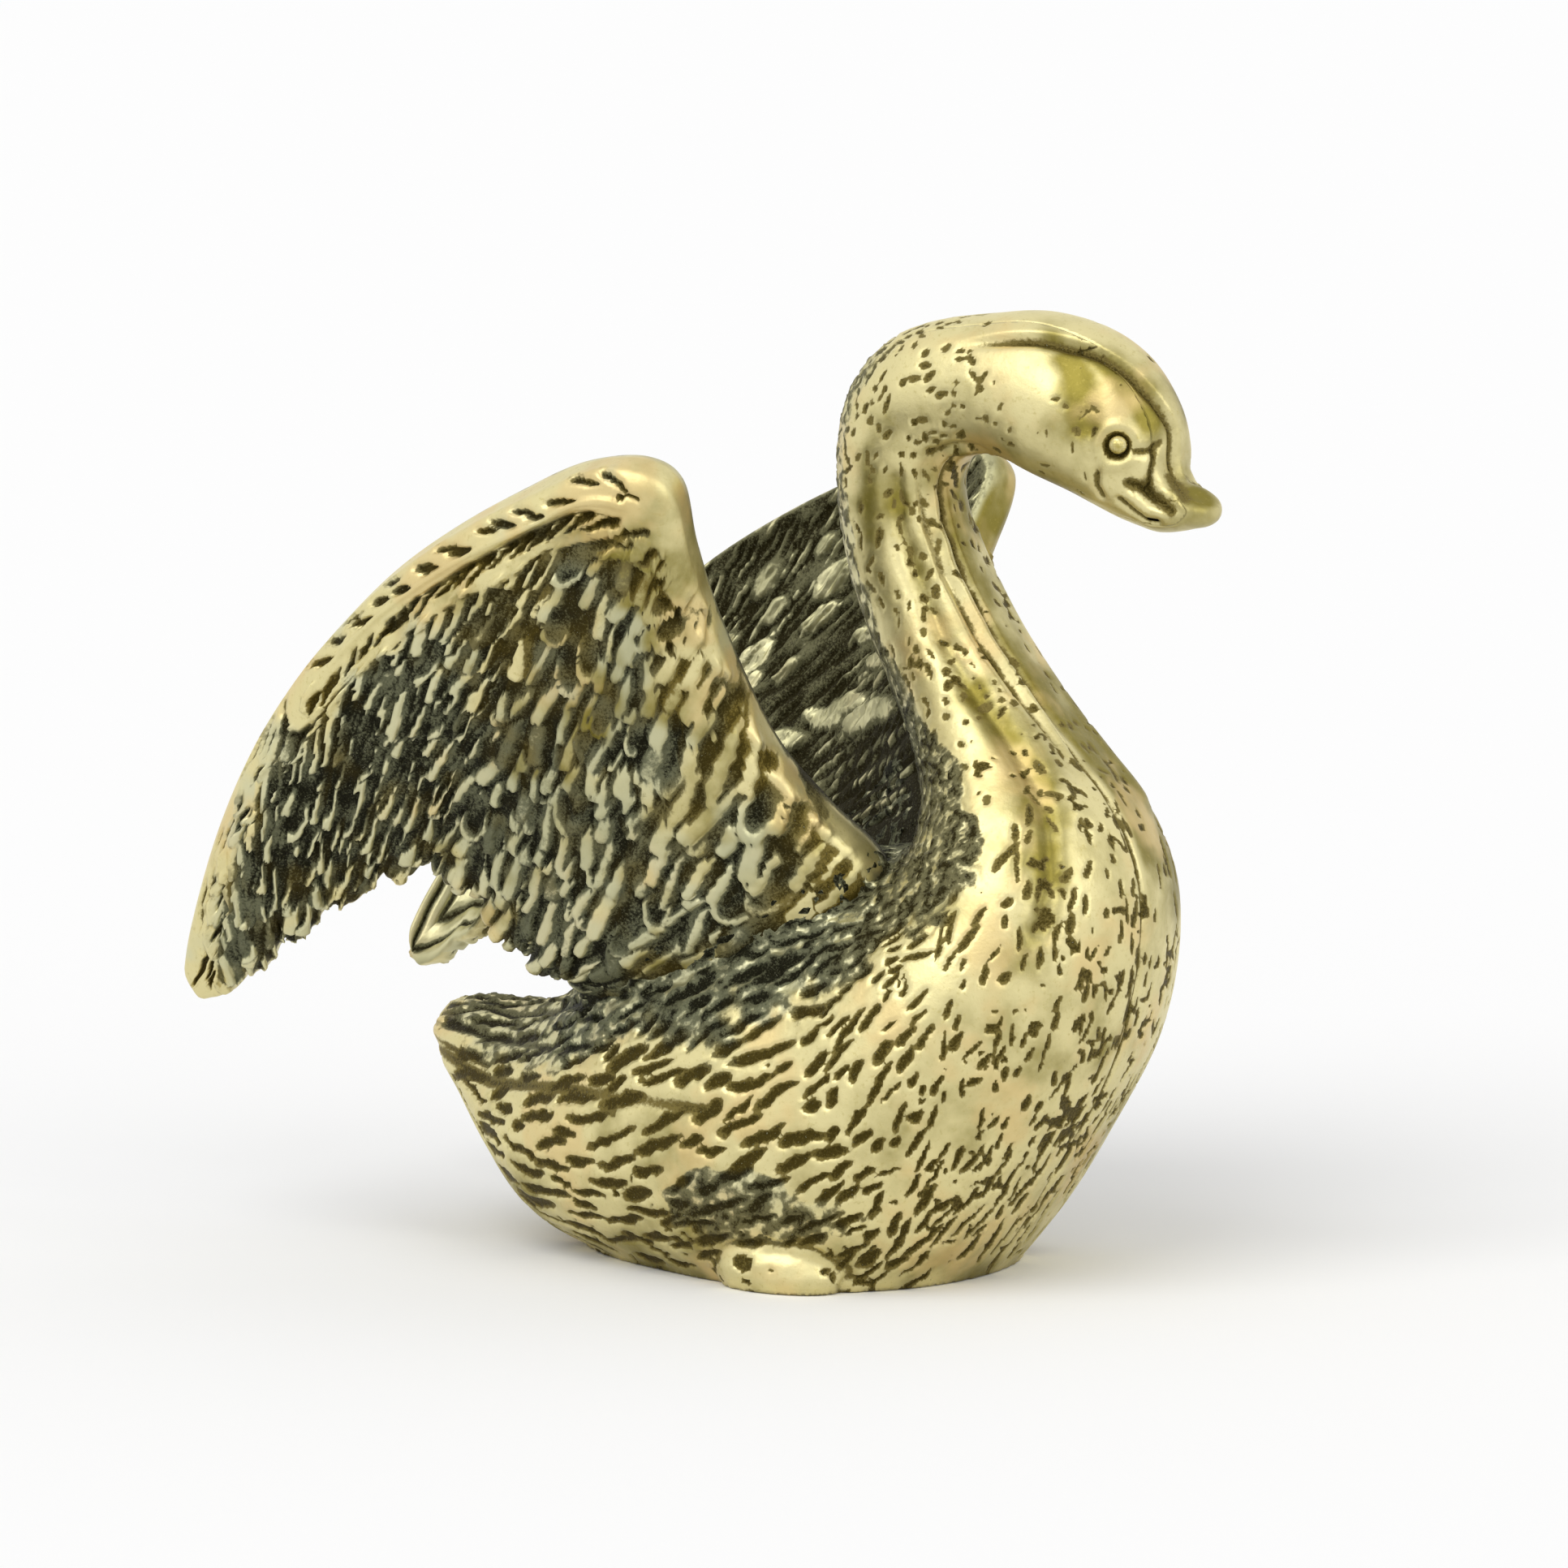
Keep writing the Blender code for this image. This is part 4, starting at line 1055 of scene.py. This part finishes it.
def seam(points, station, turn):
    """Height and darkness of the seam: a fine line on the breast, a ridge between grooves on the neck."""
    y = points[:, 1] + 0.06 * lattice_noise(points, 1.0, 61)
    front = ramp(np.abs(turn), 2.2, 2.6)
    neck = front * between(station, 14.5, 16.5, 23.5, 25.5)
    breast = front * between(station, 8.0, 9.0, 14.5, 16.5)
    line = bell(y, 0.13)
    grooves = bell(np.abs(y + 0.1) - 0.52, 0.2)
    ridge = bell(y + 0.1, 0.2)
    height = neck * (0.2 * ridge - 0.3 * grooves) - breast * 0.16 * line
    worn = 0.8 + 0.5 * lattice_noise(points, 0.8, 62)
    return height, np.clip(np.maximum(neck * grooves, 0.9 * breast * line) * worn, 0, 1)


def crown_band(points, station, turn):
    """How far each point lies to the left of the edge of the crown band, and where the band runs."""
    beyond = points[:, 1] - np.interp(station, *np.array(CROWN_EDGE).T)
    top = ramp(np.abs(turn), 1.3, 0.95) * between(station, 24.2, 26, 31.0, 32.0)
    return beyond, top


def head_details(points, beyond, top):
    """Height and darkness of the crown band, the groove along it, the hollow on the bill and the eyes."""
    groove = top * bell(beyond + 0.14, 0.15)
    hollow = bell(np.linalg.norm(points - BILL_HOLLOW, axis=1), 0.6)
    height = 0.26 * top * ramp(beyond, -0.05, 0.12) - 0.24 * groove - 0.22 * hollow
    dark = np.maximum(0.95 * groove, 0.3 * hollow)
    for bead in ("right_eye_bead", "left_eye_bead"):
        low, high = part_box(bead)
        away = np.linalg.norm(points - np.array((low + high) / 2) / MM, axis=1)
        height -= 0.34 * ramp(away, EYE_SOCKET_RIM, EYE_SOCKET_FLOOR)
        height += 0.1 * bell(away - EYE_RING, 0.16)
        dark = np.maximum(dark, ramp(away, 0.8, 0.68))
    return height, np.clip(dark, 0, 1)


def plate_recess(points):
    """Sinks the skin over the base plate, so that the plate shows in the mouth of the body."""
    plate = vertex_array(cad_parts["base_plate"].data) / MM
    underside = plate[plate[:, 2] < 0.1, :2]
    centre = underside.mean(axis=0)
    bearing = np.arctan2(*(underside - centre).T[::-1])
    order = np.argsort(bearing)
    radius = np.linalg.norm(underside - centre, axis=1)[order]
    flat = points[:, 2] < 0.02
    offset = points[flat, :2] - centre
    reach = np.interp(np.arctan2(offset[:, 1], offset[:, 0]), bearing[order], radius, period=2 * math.pi)
    lifted = points[flat, 2]
    lifted[np.linalg.norm(offset, axis=1) < reach + PLATE_CLEARANCE] = RECESS_DEPTH
    points[flat, 2] = lifted


def body_half(whole, name, side):
    """One half of the skin, closed along the seam. The roof of its recess becomes one flat face."""
    form = bmesh.new()
    form.from_mesh(whole)
    form.normal_update()
    level = RECESS_DEPTH * MM
    roof = [point for point in form.verts if abs(point.co.z / level - 1) < 0.01 and point.normal.z < -0.999]
    on_roof = set(roof)
    lines = [line for line in form.edges if on_roof.issuperset(line.verts)]
    bmesh.ops.dissolve_limit(form, angle_limit=0.001, verts=roof, edges=lines)
    edge = Vector((0, side * SEAM_GAP * MM / 2, 0))
    cut_off(form, dist=1e-7, plane_co=edge, plane_no=(0, side, 0), clear_inner=True)
    mesh = finished_mesh(form, f"{name}_casting")
    dress(mesh, f"{name}_casting", f"{name}_body_shell")


# Pieces and materials

def new_object(name, data):
    """An object in the scene."""
    made = bpy.data.objects.new(name, data)
    bpy.context.scene.collection.objects.link(made)
    return made


def add_values(mesh, **values):
    """Stores values from 0 to 1 at the points of a mesh."""
    for name, numbers in values.items():
        attribute = mesh.attributes.new(name, "FLOAT", "POINT")
        attribute.data.foreach_set("value", np.clip(numbers, 0, 1).astype(np.float32))


def dress(mesh, name, node):
    """A smooth cast piece, which stands for a node of the frame."""
    mesh.shade_smooth()
    mesh.materials.append(CAST_BRASS)
    piece = new_object(name, mesh)
    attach(piece, "root")
    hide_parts(node)


class Nodes:
    """Adds nodes to a material and links them."""

    def __init__(self, name):
        self.material = bpy.data.materials.new(name)
        self.material.use_nodes = True
        self.tree = self.material.node_tree
        self.shader = self.tree.nodes["Principled BSDF"]

    def add(self, kind, **settings):
        node = self.tree.nodes.new(kind)
        for key, value in settings.items():
            setattr(node, key, value)
        return node

    def link(self, source, target):
        self.tree.links.new(source, target)

    def value(self, socket, source):
        """Feeds a socket with another socket or with a number or colour."""
        if isinstance(source, bpy.types.NodeSocket):
            self.link(source, socket)
        else:
            socket.default_value = source

    def shade(self, name, source):
        """Feeds a socket of the shader."""
        self.value(self.shader.inputs[name], source)

    def attribute(self, name):
        return self.add("ShaderNodeAttribute", attribute_name=name).outputs["Fac"]

    def noise(self, per_metre, detail, roughness=0.55):
        place = self.add("ShaderNodeTexCoord").outputs["Object"]
        node = self.add("ShaderNodeTexNoise")
        self.link(place, node.inputs["Vector"])
        node.inputs["Scale"].default_value = per_metre
        node.inputs["Detail"].default_value = detail
        node.inputs["Roughness"].default_value = roughness
        return node.outputs["Fac"]

    def math(self, operation, first, second, third=0.0):
        node = self.add("ShaderNodeMath", operation=operation)
        for socket, source in zip(node.inputs, (first, second, third)):
            self.value(socket, source)
        return node.outputs[0]

    def varied(self, source, noise, amount):
        """A value that noise moves up and down."""
        return self.math("MULTIPLY_ADD", self.math("SUBTRACT", noise, 0.5), amount, source)

    def ramp(self, source, start, end, low=0.0, high=1.0):
        node = self.add("ShaderNodeMapRange", interpolation_type="SMOOTHSTEP")
        for name, number in (("From Min", start), ("From Max", end), ("To Min", low), ("To Max", high)):
            self.value(node.inputs[name], number)
        self.link(source, node.inputs["Value"])
        return node.outputs["Result"]

    def mix(self, share, first, second):
        node = self.add("ShaderNodeMix", data_type="RGBA")
        self.value(node.inputs["Factor"], share)
        self.value(node.inputs["A"], first)
        self.value(node.inputs["B"], second)
        return node.outputs["Result"]

    def bump(self, height, distance, strength, below=None):
        node = self.add("ShaderNodeBump")
        node.inputs["Distance"].default_value = distance
        self.value(node.inputs["Strength"], strength)
        self.link(height, node.inputs["Height"])
        if below is not None:
            self.link(below, node.inputs["Normal"])
        return node.outputs["Normal"]


def srgb(text):
    """A linear colour from a hex colour."""
    parts = [int(text[start : start + 2], 16) / 255 for start in (0, 2, 4)]
    linear = [part / 12.92 if part <= 0.04045 else ((part + 0.055) / 1.055) ** 2.4 for part in parts]
    return (*linear, 1.0)


def cast_brass():
    """Brass that is bright where it is rubbed, dull olive where it isn't and where shade is painted, and
    dark in the low places.
    """
    nodes = Nodes("cast_brass")
    coarse = nodes.noise(330, 3)
    cloud = nodes.noise(1100, 4)
    fine = nodes.noise(4200, 4, 0.65)
    grit = nodes.noise(8000, 3, 0.7)
    grey = nodes.attribute("grey")
    low = nodes.attribute("patina")
    # The tarnish values carry painted shade too, which turns the brass dull olive like the tarnish
    dull_and_shade = nodes.varied(nodes.varied(nodes.attribute("tarnish"), coarse, 0.9), cloud, 0.5)
    brass = nodes.mix(nodes.ramp(dull_and_shade, 0.0, 0.95), srgb(BRIGHT_BRASS), srgb(DULL_AND_SHADE_BRASS))
    brass = nodes.mix(nodes.ramp(fine, 0.54, 0.74, 0.0, 0.4), brass, srgb(STAINED_BRASS))
    brass = nodes.mix(nodes.ramp(nodes.noise(240, 3), 0.5, 0.66, 0.0, 0.6), brass, srgb(WARM_BRASS))
    brass = nodes.mix(nodes.ramp(grey, 0.45, 1.0, 0.0, 0.7), brass, srgb(PALE_BRASS))
    patina = nodes.ramp(nodes.varied(low, fine, 0.7), 0.28, 0.62)
    deep = nodes.ramp(nodes.varied(low, grit, 0.9), 0.66, 1.0)
    brown = nodes.mix(deep, srgb(BROWN_PATINA), srgb(DEEP_BROWN))
    slate = nodes.mix(deep, srgb(SLATE_PATINA), srgb(DEEP_SLATE))
    dark = nodes.mix(grey, brown, slate)
    dark = nodes.mix(nodes.ramp(grit, 0.64, 0.74, 0.0, 0.35), dark, srgb(PALE_BRASS))
    nodes.shade("Base Color", nodes.mix(patina, brass, dark))
    nodes.shade("Metallic", nodes.ramp(patina, 0, 1, 0.9, 0.5))
    nodes.shade("Specular IOR Level", 0.08)
    nodes.shade("Roughness", nodes.varied(nodes.ramp(patina, 0, 1, 0.41, 0.5), cloud, 0.16))
    grain = nodes.bump(grit, 0.00006, nodes.ramp(patina, 0, 1, 0.12, 0.9))
    nodes.shade("Normal", nodes.bump(cloud, 0.00012, 0.3, grain))
    return nodes.material


def plain_brass(name, light, dark, roughness):
    """Brass with faint stains and fine scratches, for pins, beads and the base plate."""
    nodes = Nodes(name)
    stains = nodes.noise(1400, 4)
    scratches = nodes.noise(9000, 3)
    nodes.shade("Base Color", nodes.mix(nodes.ramp(stains, 0.4, 0.7), srgb(light), srgb(dark)))
    nodes.shade("Metallic", 1.0)
    nodes.shade("Roughness", nodes.ramp(stains, 0.3, 0.8, roughness, roughness + 0.2))
    nodes.shade("Normal", nodes.bump(scratches, 0.00003, 0.5))
    return nodes.material


def dress_nodes():
    """Materials of the nodes that stay in sight as they are."""
    bead = plain_brass("bead_brass", BRIGHT_BRASS, STAINED_BRASS, 0.25)
    pin = plain_brass("pin_brass", STAINED_BRASS, DULL_AND_SHADE_BRASS, 0.35)
    base = plain_brass("base_brass", DULL_AND_SHADE_BRASS, BASE_STAIN, 0.45)
    for name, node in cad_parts.items():
        material = bead if name.endswith("bead") else base if name == "base_plate" else pin
        node.data.materials.clear()
        node.data.materials.append(material)


# Studio

def add_floor():
    """A wide pale floor, a hair below the base."""
    form = bmesh.new()
    bmesh.ops.create_circle(form, cap_ends=True, segments=96, radius=FLOOR_RADIUS)
    floor = new_object("floor", finished_mesh(form, "floor"))
    floor.location.z = -FLOOR_DROP
    nodes = Nodes("pale_floor")
    nodes.shade("Base Color", (FLOOR_WHITE, FLOOR_WHITE, FLOOR_WHITE, 1.0))
    nodes.shade("Roughness", 1.0)
    nodes.shade("Specular IOR Level", 0.0)
    floor.data.materials.append(nodes.material)


def toward(turn, rise):
    """Unit vector towards a place seen from the swan, with its turn measured from straight to the right."""
    return Vector((math.sin(turn) * math.cos(rise), -math.cos(turn) * math.cos(rise), math.sin(rise)))


def add_lamp(name, turn, rise, strength):
    """A very soft distant lamp."""
    light = bpy.data.lights.new(name, "SUN")
    light.angle = LAMP_SPREAD
    light.energy = strength
    lamp = new_object(name, light)
    lamp.rotation_mode = "QUATERNION"
    back = toward(math.radians(turn), math.radians(rise))
    lamp.rotation_quaternion = (-back).to_track_quat("-Z", "Y")


def light_world():
    """A white surround that lights the swan softly and shows white where it is seen or mirrored."""
    world = bpy.data.worlds.new("studio")
    bpy.context.scene.world = world
    world.use_nodes = True
    tree = world.node_tree
    background = tree.nodes["Background"]
    background.inputs["Color"].default_value = (1.0, 1.0, 1.0, 1.0)
    rays = tree.nodes.new("ShaderNodeLightPath").outputs
    white = rays["Is Camera Ray"]
    for kind in ("Is Glossy Ray", "Is Transmission Ray"):
        either = tree.nodes.new("ShaderNodeMath")
        either.operation = "MAXIMUM"
        tree.links.new(white, either.inputs[0])
        tree.links.new(rays[kind], either.inputs[1])
        white = either.outputs[0]
    level = tree.nodes.new("ShaderNodeMapRange")
    level.inputs["To Min"].default_value = SKY_LIGHT
    level.inputs["To Max"].default_value = 1.0
    tree.links.new(white, level.inputs["Value"])
    tree.links.new(level.outputs["Result"], background.inputs["Strength"])


def add_camera():
    """The photo's view, from the right and a little above."""
    back = toward(CAMERA_TURN, CAMERA_RISE)
    right = Vector((math.cos(CAMERA_TURN), math.sin(CAMERA_TURN), 0))
    up = back.cross(right)
    lens = bpy.data.cameras.new("camera")
    lens.sensor_width = SENSOR_WIDTH
    lens.lens = SENSOR_WIDTH * CAMERA_DISTANCE / FRAME_WIDTH
    lens.clip_start = NEAREST_SEEN
    lens.clip_end = FARTHEST_SEEN
    camera = new_object("camera", lens)
    camera.location = right * FRAME_RIGHT + up * FRAME_UP + back * CAMERA_DISTANCE
    camera.rotation_mode = "QUATERNION"
    camera.rotation_quaternion = (-back).to_track_quat("-Z", "Y")
    bpy.context.scene.camera = camera


def corners(box):
    return [list(corner) for corner in box]


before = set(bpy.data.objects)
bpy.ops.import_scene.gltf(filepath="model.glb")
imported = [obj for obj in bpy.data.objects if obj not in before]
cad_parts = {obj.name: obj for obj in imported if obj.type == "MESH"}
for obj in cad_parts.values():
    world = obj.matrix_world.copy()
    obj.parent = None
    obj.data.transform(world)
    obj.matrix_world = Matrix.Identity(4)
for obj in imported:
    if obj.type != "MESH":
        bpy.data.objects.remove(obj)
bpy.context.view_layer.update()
CAST_BRASS = cast_brass()
make_body()
make_wing("right", -1, RIGHT_WING_SEED)
make_wing("left", 1, LEFT_WING_SEED)
dress_nodes()
add_floor()
light_world()
for lamp in LAMPS:
    add_lamp(*lamp)
add_camera()
bpy.context.scene.view_settings.view_transform = "Standard"
